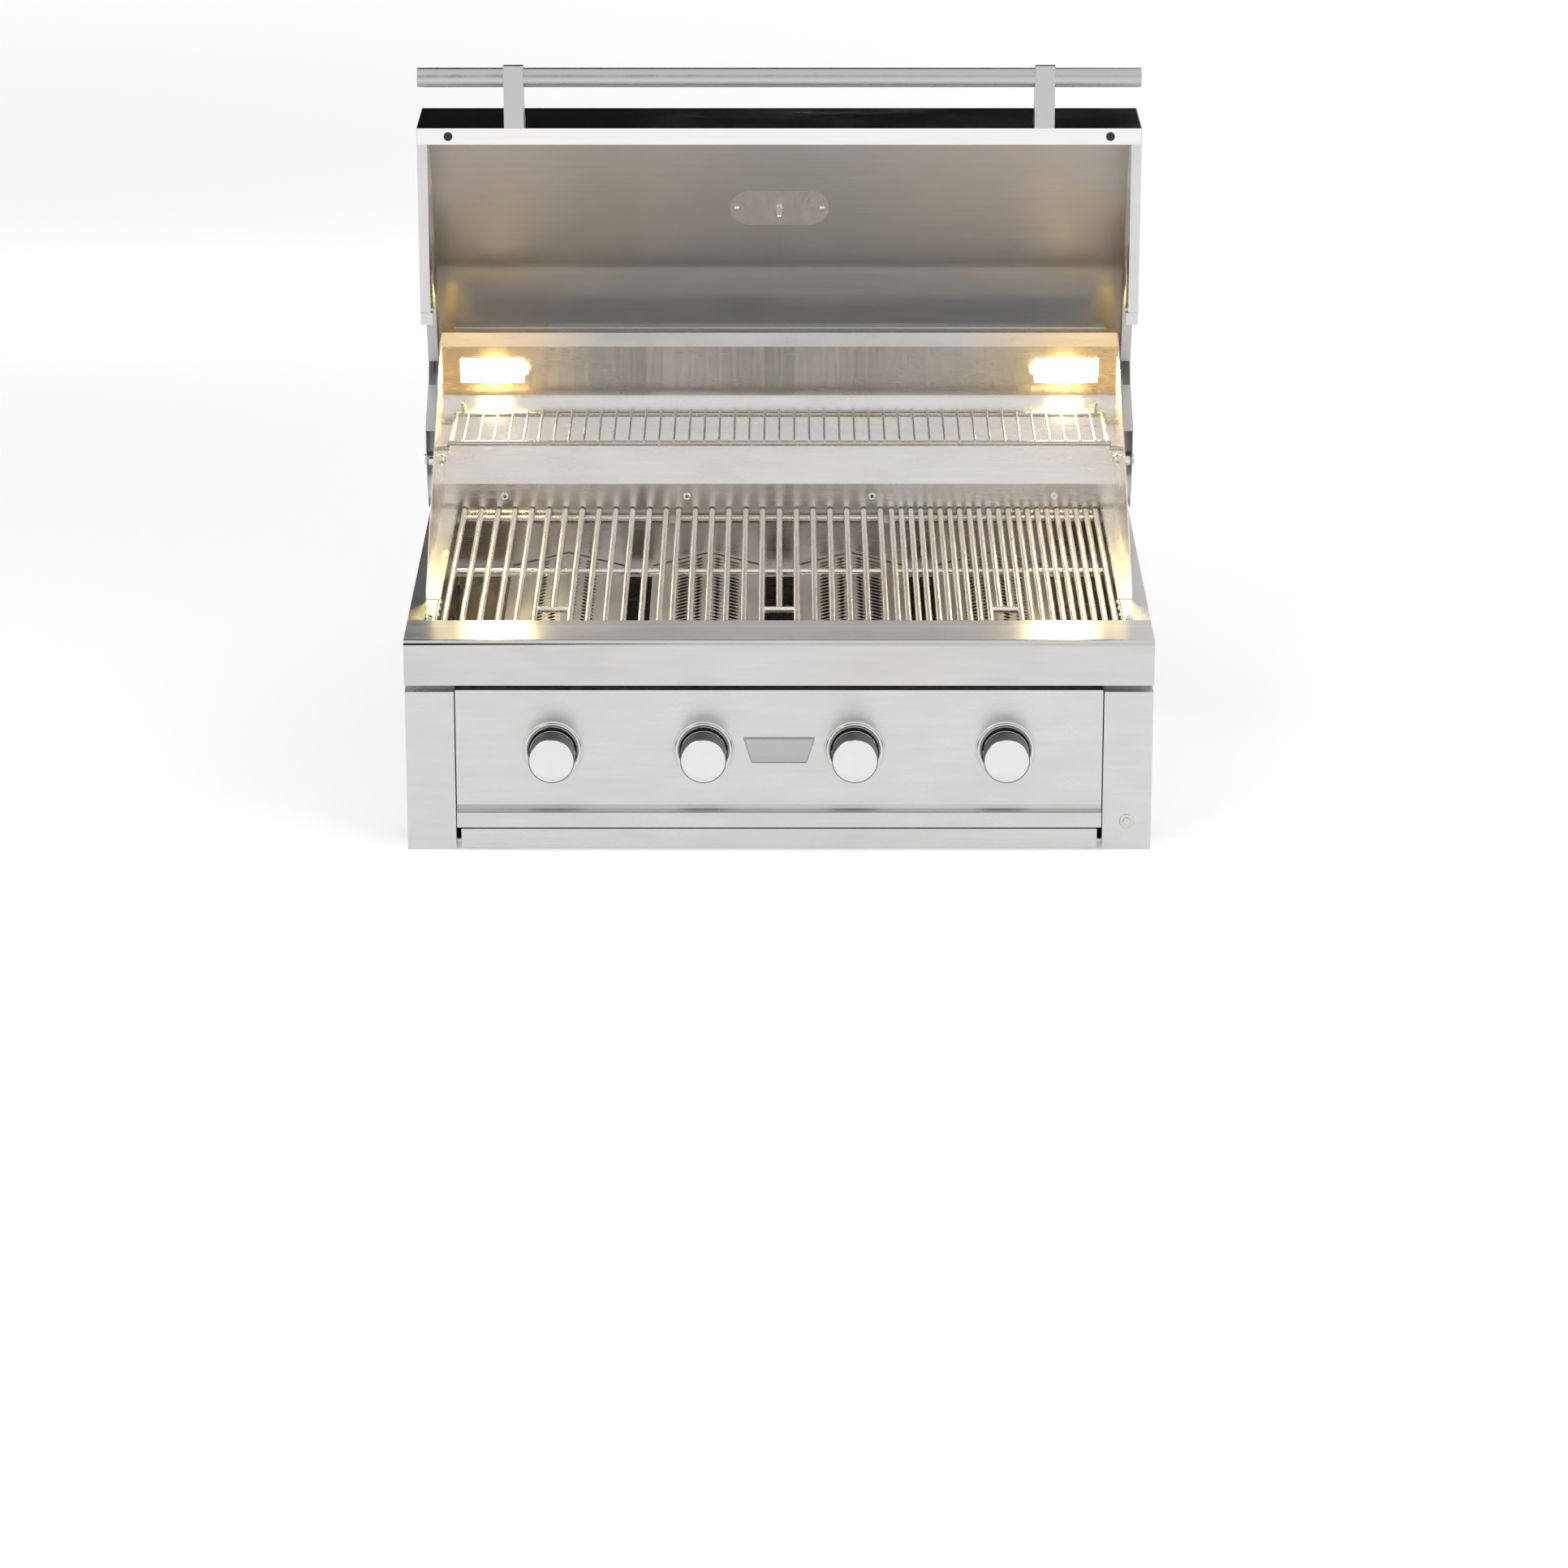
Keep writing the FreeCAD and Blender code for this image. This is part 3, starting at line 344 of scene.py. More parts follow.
# Heights where the painted shade changes: the open hood's bend and upper part, and the rear liner's bend.
HOOD_BEND = 0.53
HOOD_UPPER = 0.68
LINER_BEND = 0.372
# Colour of the painted lamp glow on the rear liner.
PAINTED_LAMP_GLOW = (0.84, 0.64, 0.40)


def heat_tinted_with_painted_shade(name, colour):
    """Inside of the hood: brushed across, with warm heat-tint patches, painted shade that darkens it from
    its upper part down to the bend, and painted light below the bend.
    """
    shader = brushed(name, colour, "x", 0.34, 0.05, 0.05, 0.3)
    clouds = shader.noise((5, 5, 6.5), 3, 0.55)
    beside = shader.ranged(shader.from_middle(), 0.1, 0.33, 0, 1)
    warmth = shader.maths("MULTIPLY", shader.ranged(clouds, 0.42, 0.7, 0, 1), beside)
    warm = (colour[0] * 1.1, colour[1] * 0.98, colour[2] * 0.84)
    shader.colour(shader.mix(warmth, shader.base(), warm))
    # Painted shade: darker from the upper part down to the bend; painted light: lighter below the bend.
    height = shader.axis("z")
    above = shader.ranged(height, HOOD_BEND, HOOD_UPPER, 0.75, 1.04)
    below = shader.ranged(height, HOOD_BEND - 0.012, HOOD_BEND, 1.55, 1)
    return shader.shaded(shader.maths("MULTIPLY", above, below))


def rear_liner(name, colour):
    """Sheet behind the grates, with painted shade that darkens it from its bend up, and a painted
    straw-coloured glow of the lamps near them.
    """
    shader = brushed(name, colour, "x", 0.25, stretch=0.2)
    height = shader.axis("z")
    # Painted shade: darker from the bend up.
    shader.shaded(shader.ranged(height, LINER_BEND, LINER_BEND + 0.007, 1, 0.71))
    # Painted light: the lamps' warm glow, painted straw-coloured above the bend near the lamps.
    beside = shader.ranged(shader.from_middle(), 0.21, 0.34, 0, 1)
    above = shader.ranged(height, LINER_BEND, LINER_BEND + 0.013, 0, 1)
    shader.colour(shader.mix(shader.maths("MULTIPLY", beside, above), shader.base(), PAINTED_LAMP_GLOW))
    return shader


def box_with_painted_floor_shade(name, colour):
    """Inside of the firebox, unshaded at its rails and darkened towards its floor by painted shade under
    the tamers.
    """
    shader = brushed(name, colour, "x", 0.25, stretch=0.2)
    # Painted shade: darker towards the floor, under the tamers.
    return shader.shaded(shader.ranged(shader.axis("z"), 0.09, 0.165, 0.65, 1))


def plain(name, colour, roughness, metallic=0.0, grain=300, strength=0.1):
    """A moulded or cast surface with a fine grain."""
    shader = Shader(name, colour, metallic, roughness)
    speckle = shader.noise((grain, grain, grain), 3)
    shader.colour(shader.mix(speckle, scaled(colour, 0.85), scaled(colour, 1.15)))
    shader.rough(shader.ranged(speckle, 0.3, 0.7, roughness - 0.06, roughness + 0.06))
    shader.bump(speckle, strength, 0.0001)
    return shader


def lit_glass(name, colour, strength):
    """A lit lamp's lens, a little ribbed."""
    shader = Shader(name, (1, 1, 1), 0.0, 0.25)
    ribs = shader.noise((500, 30, 30), 1)
    shader.surface.inputs["Emission Color"].default_value = (*colour, 1)
    shader.surface.inputs["Emission Strength"].default_value = strength
    shader.colour(shader.mix(ribs, (1, 0.97, 0.9), (1, 1, 1)))
    shader.bump(ribs, 0.2, 0.0002)
    return shader


def clear_glass(name):
    """Clear glass with a faint waviness."""
    shader = Shader(name, (1, 1, 1), 0.0, 0.02)
    shader.surface.inputs["Transmission Weight"].default_value = 1
    shader.surface.inputs["IOR"].default_value = 1.45
    shader.bump(shader.noise((40, 40, 40), 1), 0.02, 0.0001)
    return shader


MATERIALS = {}


def make_materials(finish):
    """Every finish the grill uses, by name."""
    wear = {"brushing": finish.brushing, "smudges": finish.smudges}
    # Painted light: the side walls and tray runners get the liner steel painted lighter, a lit copy of it.
    painted_lit_side_wall = scaled(finish.liner, 1.22)
    plate = scaled(finish.hood_liner, 1.15)
    made = {
        "panel_x": brushed("panel_brushed_across", finish.panel, "x", 0.30, **wear),
        "panel_y": brushed("panel_brushed_back", finish.panel, "y", 0.30, **wear),
        "deck": rolled_edge_with_painted_light(brushed("deck_brushed_across", finish.deck, "x", 0.32, stretch=0.8, **wear)),
        "hood_skin": brushed("hood_smooth_skin", finish.hood, "x", 0.09, 0.03, 0.02, 0),
        "liner_x": brushed("liner_brushed_across", finish.liner, "x", 0.25, stretch=0.2, **wear),
        "liner_y": brushed("liner_brushed_back_painted_light", painted_lit_side_wall, "y", 0.25, stretch=0.2, **wear),
        "hood_liner": heat_tinted_with_painted_shade("hood_liner_tinted_painted_shade", finish.hood_liner),
        "rear_liner": rear_liner("rear_liner_painted_shade_and_glow", finish.liner),
        "firebox": box_with_painted_floor_shade("firebox_steel", finish.liner),
        "gauge_plate": brushed("gauge_plate_brushed", plate, "z", 0.3, 0.12, 0.06),
        "satin": polished("satin_steel", finish.satin, 0.3, 0.02, 0),
        "bezel": polished("bezel_steel", scaled(finish.satin, 1.25), 0.17, 0.02, 0),
        "button": polished("button_steel", scaled(finish.satin, 1.2), 0.25, 0.02, 0),
        "turned": turned_face("turned_knob_face", finish.polished),
        "bar": round_bar("grate_bar", finish.bar),
        "rack": round_bar("rack_wire", scaled(finish.bar, 0.6)),
        "polished": polished("polished_steel", finish.polished),
        "burner": plain("burner_tube", finish.burner, 0.5, 0.9, 120, 0.3),
        "tamer": brushed("tamer_sheet", finish.tamer, "y", 0.32, 0.06, 0.1, 0.4),
        "knurled": plain("knurled_steel", (0.15, 0.15, 0.15), 0.35, 1.0, 500, 0.05),
        "badge": brushed("badge_steel", (0.44, 0.44, 0.435), "x", 0.25, **wear),
        "dial": plain("dial_enamel", (0.80, 0.79, 0.76), 0.35, 0, 200, 0.03),
        "ink": plain("dial_ink", (0.02, 0.02, 0.02), 0.5, 0, 400, 0.03),
        "clear": clear_glass("dial_glass"),
        "rubber": plain("black_rubber", (0.02, 0.02, 0.02), 0.75, 0, 900, 0.3),
        "brass": plain("machined_brass", (0.62, 0.44, 0.18), 0.3, 1.0, 400, 0.05),
        "ceramic": plain("glazed_ceramic", (0.85, 0.83, 0.78), 0.2),
        "lens": lit_glass("lit_lens", finish.glow, finish.lamp_strength),
    }
    MATERIALS.update({key: shader.material for key, shader in made.items()})


# Which finish each CAD piece that stays on show gets.
CAD_FINISH = {
    "panel_x": (
        "control_panel", "lower_rail", "tray_front", "back_panel", "gas_manifold", "front_post_left",
        "front_post_right",
    ),
    "deck": ("deck_front",),
    "hood_skin": ("hood_shell",),
    "panel_y": ("side_panel_left", "side_panel_right", "hood_side_left", "hood_side_right"),
    "gauge_plate": ("gauge_plate",),
    "liner_x": ("lamp_housings", "drip_tray"),
    "rear_liner": ("rear_liner",),
    "firebox": ("firebox",),
    "liner_y": ("side_wall_left", "side_wall_right", "tray_runners"),
    "hood_liner": ("hood_liner",),
    "bar": ("grate_left", "grate_middle", "grate_right"),
    "rack": ("warming_rack", "rack_studs"),
    "satin": ("handle_tube", "handle_caps", "handle_post_left", "handle_post_right"),
    "bezel": ("knob_bezels",),
    "button": ("button_bezel", "light_button"),
    "polished": (
        "thermometer", "gauge_screws", "liner_screws", "hinge_bolts",
        "badge_plate", "knob_1", "knob_2", "knob_3", "knob_4",
    ),
    "burner": ("burner_1", "burner_2", "burner_3", "burner_4"),
    "tamer": ("flame_tamer_1", "flame_tamer_2", "flame_tamer_3", "flame_tamer_4"),
    "rubber": ("hood_bumpers",),
    "brass": ("gas_valves", "valve_stem_1", "valve_stem_2", "valve_stem_3", "valve_stem_4"),
    "ceramic": ("igniters",),
    "lens": ("lamp_lenses",),
}


def dress(obj, key):
    obj.data.materials.clear()
    obj.data.materials.append(MATERIALS[key])


# ---- operators ------------------------------------------------------------------------------

class GRILL_OT_finishes(bpy.types.Operator):
    """Give every CAD piece its finish."""

    bl_idname = "grill.finishes"
    bl_label = "Finishes"

    def execute(self, context):
        make_materials(context.scene.grill_finish)
        for key, nodes in CAD_FINISH.items():
            for node in nodes:
                dress(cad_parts[node], key)
        return {"FINISHED"}


# ---- modelling helpers ----------------------------------------------------------------------

def piece(name, shape, key, body, slot, *nodes):
    """A finished object from a shape, riding on a body and standing for some CAD nodes."""
    mesh = bpy.data.meshes.new(name)
    shape.to_mesh(mesh)
    shape.free()
    mesh.shade_smooth()
    mesh.set_sharp_from_angle(angle=math.radians(32))
    mesh.materials.append(MATERIALS[key])
    obj = bpy.data.objects.new(name, mesh)
    bpy.context.collection.objects.link(obj)
    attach(obj, body)
    if nodes:
        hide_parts(*nodes)
    return obj


def spun(profile, steps=64, ring=False):
    """A shape turned about Z from (radius, height) points; a ring's last point joins its first."""
    shape = bmesh.new()
    points = [shape.verts.new((radius, 0, height)) for radius, height in profile]
    follow = points[1:] + points[:1] if ring else points[1:]
    edges = [shape.edges.new(pair) for pair in zip(points, follow)]
    bmesh.ops.spin(
        shape, geom=points + edges, cent=(0, 0, 0), axis=Z_AXIS, angle=math.tau, steps=steps,
        use_merge=True,
    )
    bmesh.ops.remove_doubles(shape, verts=shape.verts, dist=1e-6)
    bmesh.ops.recalc_face_normals(shape, faces=shape.faces)
    return shape


def in_metres(profile):
    return [(radius * MM, height * MM) for radius, height in profile]


def placed(shape, place, out):
    """Turn a shape's Z axis to a direction and set it down."""
    turn = Vector(out).to_track_quat("Z", "Y").to_matrix().to_4x4()
    bmesh.ops.transform(shape, matrix=Matrix.Translation(place) @ turn, verts=shape.verts)
    return shape


def gathered(shapes):
    """One shape made of several."""
    whole = bmesh.new()
    for shape in shapes:
        mesh = bpy.data.meshes.new("gathering")
        shape.to_mesh(mesh)
        shape.free()
        whole.from_mesh(mesh)
        bpy.data.meshes.remove(mesh)
    return whole


def softened(shape, width, segments=2, angle=30):
    """Bevel the edges where faces meet at more than an angle."""
    sharp = [edge for edge in shape.edges if edge.calc_face_angle(0) > math.radians(angle)]
    bmesh.ops.bevel(
        shape, geom=sharp, offset=width, segments=segments, profile=0.5, affect="EDGES",
        material=-1, clamp_overlap=True,
    )
    return shape


def verts_in(geometry):
    return [item for item in geometry if isinstance(item, bmesh.types.BMVert)]


def flat_face(shape, outline):
    """A face in the XY plane from its outline."""
    return shape.faces.new([shape.verts.new((x, y, 0)) for x, y in outline])


def rectangle(left, bottom, right, top):
    return [(left, bottom), (right, bottom), (right, top), (left, top)]


def raised(outline, depth):
    """A prism from a flat outline in the XY plane, rising along Z."""
    shape = bmesh.new()
    lifted = bmesh.ops.extrude_face_region(shape, geom=[flat_face(shape, outline)])["geom"]
    bmesh.ops.translate(shape, verts=verts_in(lifted), vec=(0, 0, depth))
    bmesh.ops.recalc_face_normals(shape, faces=shape.faces)
    return shape


def hexagon(radius):
    angles = [math.tau * n / 6 for n in range(6)]
    return [(radius * math.cos(angle), radius * math.sin(angle)) for angle in angles]


def hex_screw(place, out, radius, height):
    """A flanged hex head with a dimpled top."""
    head = raised(hexagon(radius * 0.9), height)
    top = max(head.faces, key=lambda face: face.calc_center_median().z)
    bmesh.ops.inset_region(head, faces=[top], thickness=radius * 0.35, depth=-height * 0.22)
    softened(head, radius * 0.08, 2, 40)
    flange = radius * 1.1
    rim = spun([(0, 0), (flange, 0), (flange, height * 0.14), (radius * 0.7, height * 0.3)], 24)
    return placed(gathered([head, rim]), place, out)


def pan_screw(place, out, radius, height):
    """A domed round head with a socket."""
    shares = [(0, 0.45), (0.3, 0.45), (0.36, 0.98), (0.6, 0.93), (0.85, 0.7), (0.97, 0.38), (1, 0), (0, 0)]
    profile = [(reach * radius, rise * height) for reach, rise in shares]
    return placed(spun(profile, 28), place, out)


# ---- knobs and front fittings ---------------------------------------------------------------

KNURL_DEPTH = 0.45 * MM


def knob_skirt(detail, depth):
    """The knurled side of a knob, standing on the XY plane, with a thin dark rim round its cap that stands
    as a painted dark reflection at the cap's edge.
    """
    radius, foot, top, rows = 25.3 * MM, 5.4 * MM, depth - 1.6 * MM, 17
    rise = (top - foot) / rows
    profile = in_metres([(4.1, 0), (23.9, 0), (23.9, 5), (24.6, 5)])
    profile += [(radius, foot + row * rise) for row in range(rows + 1)]
    # Painted reflection: the dark knurled steel rises in a thin rim round the cap to draw a dark line at
    # its edge.
    rim = [(25.35, -1.2), (25.35, -0.7), (25, -0.45), (24.7, -0.45), (24.7, -4.6), (4.1, -4.6)]
    profile += [(reach * MM, depth + down * MM) for reach, down in rim]
    steps = detail.knurls * 2
    shape = spun(profile, steps, ring=True)
    for vert in shape.verts:
        reach = math.hypot(vert.co.x, vert.co.y)
        if reach > 25 * MM and foot - rise / 9 < vert.co.z < top + rise / 9:
            turn = round(math.atan2(vert.co.y, vert.co.x) / math.tau * steps)
            row = round((vert.co.z - foot) / rise)
            if (turn + row) % 2:
                vert.co.xy *= (reach - KNURL_DEPTH) / reach
    return shape


KNOB_COLLAR = in_metres([(24, 0.2), (25.2, 0.2), (25.4, 0.5), (25.4, 2.8), (25.1, 3.1), (24, 3.1)])
# The cap's outline, its heights counted from the knob's face.
KNOB_CAP = in_metres([
    (0, -3.8), (24.2, -3.8), (24.6, -3.5), (24.6, -1.1), (24.4, -0.5), (23.9, -0.1), (23.4, 0),
    (22.9, -0.05), (22.3, -0.3), (12, -0.55), (0, -0.7),
])
BEZEL_RING = in_metres([
    (26.6, 0), (33.5, 0), (33.5, 1.6), (33.1, 2.1), (32.2, 2.2), (31.8, 2.6), (31.6, 5.4),
    (31.2, 5.9), (30.7, 6), (27.6, 6), (27.1, 5.8), (26.7, 5.3),
])
BEZEL_CUP = in_metres([(8.2, 0), (26.5, 0), (26.5, 4.7), (25.9, 4.7), (25.8, 1.1), (8.2, 0.9)])


class GRILL_OT_knobs(bpy.types.Operator):
    """Model the knobs with their knurled skirts, and the bezels round them."""

    bl_idname = "grill.knobs"
    bl_label = "Knobs"

    def execute(self, context):
        detail = context.scene.grill_detail
        rings, cups = [], []
        for number in KNOB_NUMBERS:
            node = body = f"knob_{number}"
            centre = middle(node)
            foot = Vector((centre.x, high(node).y, centre.z))
            skirt = placed(knob_skirt(detail, high(node).y - low(node).y), foot, -Y_AXIS)
            piece(f"knob_skirt_{number}", skirt, "knurled", body, "polished_steel", node)
            cap = placed(spun(KNOB_CAP, 96), Vector((centre.x, low(node).y, centre.z)), -Y_AXIS)
            piece(f"knob_cap_{number}", cap, "turned", body, "polished_steel", node)
            collar = placed(spun(KNOB_COLLAR, 96, ring=True), foot, -Y_AXIS)
            piece(f"knob_collar_{number}", collar, "polished", body, "polished_steel", node)
            seat = Vector((centre.x, high("knob_bezels").y, centre.z))
            rings.append(placed(spun(BEZEL_RING, 96, ring=True), seat, -Y_AXIS))
            cups.append(placed(spun(BEZEL_CUP, 64, ring=True), seat, -Y_AXIS))
        piece("bezel_rings", gathered(rings), "bezel", "casing", "polished_steel", "knob_bezels")
        piece("bezel_cups", gathered(cups), "rubber", "casing", "black_rubber")
        return {"FINISHED"}


BADGE_SLANT = 8.9 * MM
# How far in and how deep each step of the plate's border goes, in millimetres.
BADGE_STEPS = ((0.5, 0), (0.15, -1.4), (1.0, 0), (0.15, 1.1))


class GRILL_OT_badge(bpy.types.Operator):
    """Model the bare plate between the middle knobs."""

    bl_idname = "grill.badge"
    bl_label = "Badge plate"

    def execute(self, context):
        first, last = low("badge_plate"), high("badge_plate")
        half, foot_half = last.x, last.x - BADGE_SLANT
        tall = (last.z - first.z) / 2
        outline = [(-half, tall), (-foot_half, -tall), (foot_half, -tall), (half, tall)]
        plate = raised(outline, last.y - first.y)
        front = max(plate.faces, key=lambda face: face.calc_center_median().z)
        for inward, deeper in BADGE_STEPS:
            bmesh.ops.inset_region(plate, faces=[front], thickness=inward * MM, depth=deeper * MM)
        softened(plate, 0.12 * MM, 2, 40)
        place = Matrix.Translation((0, last.y, middle("badge_plate").z))
        stand = place @ Matrix.Rotation(math.radians(90), 4, "X")
        bmesh.ops.transform(plate, matrix=stand, verts=plate.verts)
        piece("badge", plate, "badge", "casing", "brushed_panel", "badge_plate")
        return {"FINISHED"}


# ---- screws ---------------------------------------------------------------------------------

REAR_SCREWS_X = (-325.5 * MM, -109.5 * MM, 109.5 * MM, 325.5 * MM)
SIDE_SCREWS_BACK = (112 * MM, 136 * MM, 160 * MM)
SIDE_SCREWS_DOWN = 5 * MM
DECK_BOLT_OUT = 389 * MM
DECK_BOLT_BACK = 84 * MM
GAUGE_SCREW_OUT = 49.8 * MM
SHEET = 1.2 * MM
WASHER = in_metres([(4.2, 0), (8.6, 0), (9, 0.5), (9, 12.8), (8.6, 13.3), (4.2, 13.3)])
SHANK = in_metres([(0, 0), (4, 0), (4, 18), (0, 18)])


class GRILL_OT_screws(bpy.types.Operator):
    """Model the screws in the liners, the hinge bolts and the gauge plate's screws."""

    bl_idname = "grill.screws"
    bl_label = "Screws and bolts"

    def execute(self, context):
        front = low("deck_front").y
        wall = high("firebox")
        rear_z = high("liner_screws").z - 4 * MM
        heads = []
        for x in REAR_SCREWS_X:
            heads.append(hex_screw((x, wall.y - SHEET, rear_z), -Y_AXIS, 4 * MM, 3.6 * MM))
        liner = wall.x - SHEET
        for side in (-1, 1):
            for back in SIDE_SCREWS_BACK:
                place = (side * liner, front + back, DECK_TOP - SIDE_SCREWS_DOWN)
                heads.append(pan_screw(place, (-side, 0, 0), 3.2 * MM, 2.5 * MM))
            place = (side * DECK_BOLT_OUT, front + DECK_BOLT_BACK, DECK_TOP)
            heads.append(hex_screw(place, Z_AXIS, 4.5 * MM, 3.2 * MM))
        piece("casing_screws", gathered(heads), "polished", "casing", "polished_steel", "liner_screws")
        pivot = middle("hinge_bolts")
        outer, inner = high("hinge_bolts").x, high("side_wall_right").x - SHEET
        nut = 3.8 * MM
        bolts = []
        for side in (-1, 1):
            out = Vector((side, 0, 0))
            bolts.append(pan_screw((side * inner, pivot.y, pivot.z), -out, 6.5 * MM, 6 * MM))
            bolts.append(hex_screw((side * (outer - nut), pivot.y, pivot.z), out, 7 * MM, nut))
            washer = spun(WASHER, 40, ring=True)
            bolts.append(placed(washer, (side * (inner + SHEET), pivot.y, pivot.z), out))
            bolts.append(placed(spun(SHANK, 32), (side * (inner - 1 * MM), pivot.y, pivot.z), out))
        fastenings = gathered(bolts)
        piece("hinge_fastenings", fastenings, "polished", "casing", "polished_steel", "hinge_bolts")
        out = gauge_out()
        plate = gauge_seat() - out * 12.2 * MM
        studs = []
        for side in (-1, 1):
            place = plate + Vector((side * GAUGE_SCREW_OUT, 0, 0))
            studs.append(pan_screw(place, -out, 4 * MM, 2.6 * MM))
        heads = gathered(studs)
        piece("gauge_plate_screws", heads, "polished", "hood", "polished_steel", "gauge_screws")
        return {"FINISHED"}


# ---- thermometer ----------------------------------------------------------------------------

GAUGE_TILT = math.radians(25.4)
DIAL_RADIUS = 33.3 * MM
DIAL_HEIGHT = 7.9 * MM


def gauge_out():
    """The way the thermometer's dial faces, square to the hood's front panel."""
    return Vector((0, math.cos(GAUGE_TILT), math.sin(GAUGE_TILT)))


def gauge_seat():
    """Where the thermometer's axis meets the hood's outer skin."""
    reach = high("thermometer")
    out = gauge_out()
    back = 36 * MM * out.z + 12 * MM * out.y
    down = 38 * MM * out.y + 9 * MM * out.z
    return Vector((0, reach.y - back, reach.z - down))


GAUGE_CASE = in_metres([
    (0, -31), (2.4, -31), (3.2, -30), (3.2, -12.2), (5.4, -12.2), (5.4, -11), (6, -11), (6, 0),
    (38, 0), (38, 8.2), (37.6, 9.4), (36.6, 11), (35.6, 11.8), (34.8, 12), (34, 11.6), (33.5, 10.6),
    (33.4, 7.6), (0, 7.6),
])
GAUGE_DIAL = in_metres([(0, 7.6), (33.3, 7.6), (33.3, 7.9), (0, 7.9)])
GAUGE_GLASS = in_metres([(0, 11.4), (18, 11), (33.3, 9.8), (33.3, 9.2), (18, 10.3), (0, 10.7)])
DIAL_START, DIAL_SWEEP = math.radians(225), math.radians(270)
DIAL_STEPS = 30


def dial_marks():
    """Scale lines round the dial and a plain number at every fifth."""
    shapes = []
    for step in range(DIAL_STEPS + 1):
        angle = DIAL_START - DIAL_SWEEP * step / DIAL_STEPS
        major = step % 5 == 0
        length, width = (5 * MM, 1.1 * MM) if major else (3 * MM, 0.5 * MM)
        line = raised(rectangle(0, -width / 2, length, width / 2), 0.08 * MM)
        reach = DIAL_RADIUS - 2 * MM - length
        turn = Matrix.Rotation(angle, 4, "Z") @ Matrix.Translation((reach, 0, DIAL_HEIGHT))
        bmesh.ops.transform(line, matrix=turn, verts=line.verts)
        shapes.append(line)
        if major:
            text = number_shape(str(100 + 20 * step), 5.4 * MM)
            spot = Vector((math.cos(angle), math.sin(angle), 0)) * (DIAL_RADIUS - 12 * MM)
            bmesh.ops.translate(text, verts=text.verts, vec=spot + Z_AXIS * DIAL_HEIGHT)
            shapes.append(text)
    return gathered(shapes)


def number_shape(words, size):
    """A number as a thin raised mesh, centred on the origin."""
    curve = bpy.data.curves.new("number", "FONT")
    curve.body = words
    curve.size = size
    curve.align_x = "CENTER"
    curve.align_y = "CENTER"
    half_thick = 0.04 * MM
    curve.extrude = half_thick
    carrier = bpy.data.objects.new("number", curve)
    mesh = bpy.data.meshes.new_from_object(carrier)
    shape = bmesh.new()
    shape.from_mesh(mesh)
    bmesh.ops.translate(shape, verts=shape.verts, vec=(0, 0, half_thick))
    bpy.data.meshes.remove(mesh)
    bpy.data.objects.remove(carrier)
    bpy.data.curves.remove(curve)
    return shape


def dial_needle():
    """A tapered needle with its hub."""
    needle = raised([(-7, -1.2), (0, -1.6), (23, -0.25), (23, 0.25), (0, 1.6), (-7, 1.2)], 0.5)
    bmesh.ops.scale(needle, verts=needle.verts, vec=(MM, MM, MM))
    lift = Matrix.Translation((0, 0, DIAL_HEIGHT + 0.8 * MM))
    bmesh.ops.transform(needle, matrix=lift @ Matrix.Rotation(DIAL_START - 0.1, 4, "Z"), verts=needle.verts)
    hub = spun(in_metres([(0, 7.8), (3, 7.8), (3, 9.6), (2.3, 10.2), (0, 10.4)]), 32)
    return gathered([needle, hub])


class GRILL_OT_thermometer(bpy.types.Operator):
    """Model the hood's thermometer with its dial, scale, needle and glass."""

    bl_idname = "grill.thermometer"
    bl_label = "Thermometer"

    def execute(self, context):
        parts = (
            ("gauge_case", spun(GAUGE_CASE, 96), "polished", "polished_steel"),
            ("gauge_dial", spun(GAUGE_DIAL, 72), "dial", "white_ceramic"),
            ("gauge_marks", dial_marks(), "ink", "black_rubber"),
            ("gauge_needle", dial_needle(), "ink", "black_rubber"),
            ("gauge_glass", spun(GAUGE_GLASS, 72), "clear", "lamp_glass"),
        )
        tilt = Matrix.Rotation(-math.radians(90) + GAUGE_TILT, 4, "X")
        seat = Matrix.Translation(gauge_seat()) @ (tilt @ Matrix.Rotation(math.pi, 4, "Z"))
        for name, shape, key, slot in parts:
            bmesh.ops.transform(shape, matrix=seat, verts=shape.verts)
            piece(name, shape, key, "hood", slot, "thermometer")
        return {"FINISHED"}


# ---- flame tamers ---------------------------------------------------------------------------

TAMER_SHEET = 0.8 * MM
OVAL_FROM_RIDGE = 29.7 * MM
OVAL_CELL_HALF = 8 * MM
DIAMOND_FROM_RIDGE = 11.4 * MM
DIAMOND_CELL_HALF = 7 * MM
DIAMOND_WIDTH = 12 * MM
TAMER_SKIRT = 3 * MM


def holed_cell(shape, left, right, step, size, points):
    """A rectangle of sheet, one step long, with a hole in its middle."""
    ends = [shape.verts.new((x, y, 0)) for x, y in rectangle(left, 0, right, step)]
    outer = [shape.edges.new((ends[n], ends[(n + 1) % 4])) for n in range(4)]
    made = bmesh.ops.create_circle(shape, segments=points, radius=1)["verts"]
    stretch = Matrix.Diagonal((size[0] / 2, size[1] / 2, 1, 1))
    centre = Matrix.Translation(((left + right) / 2, step / 2, 0))
    bmesh.ops.transform(shape, matrix=centre @ stretch, verts=made)
    inner = list({edge for vert in made for edge in vert.link_edges})
    bmesh.ops.bridge_loops(shape, edges=outer + inner)


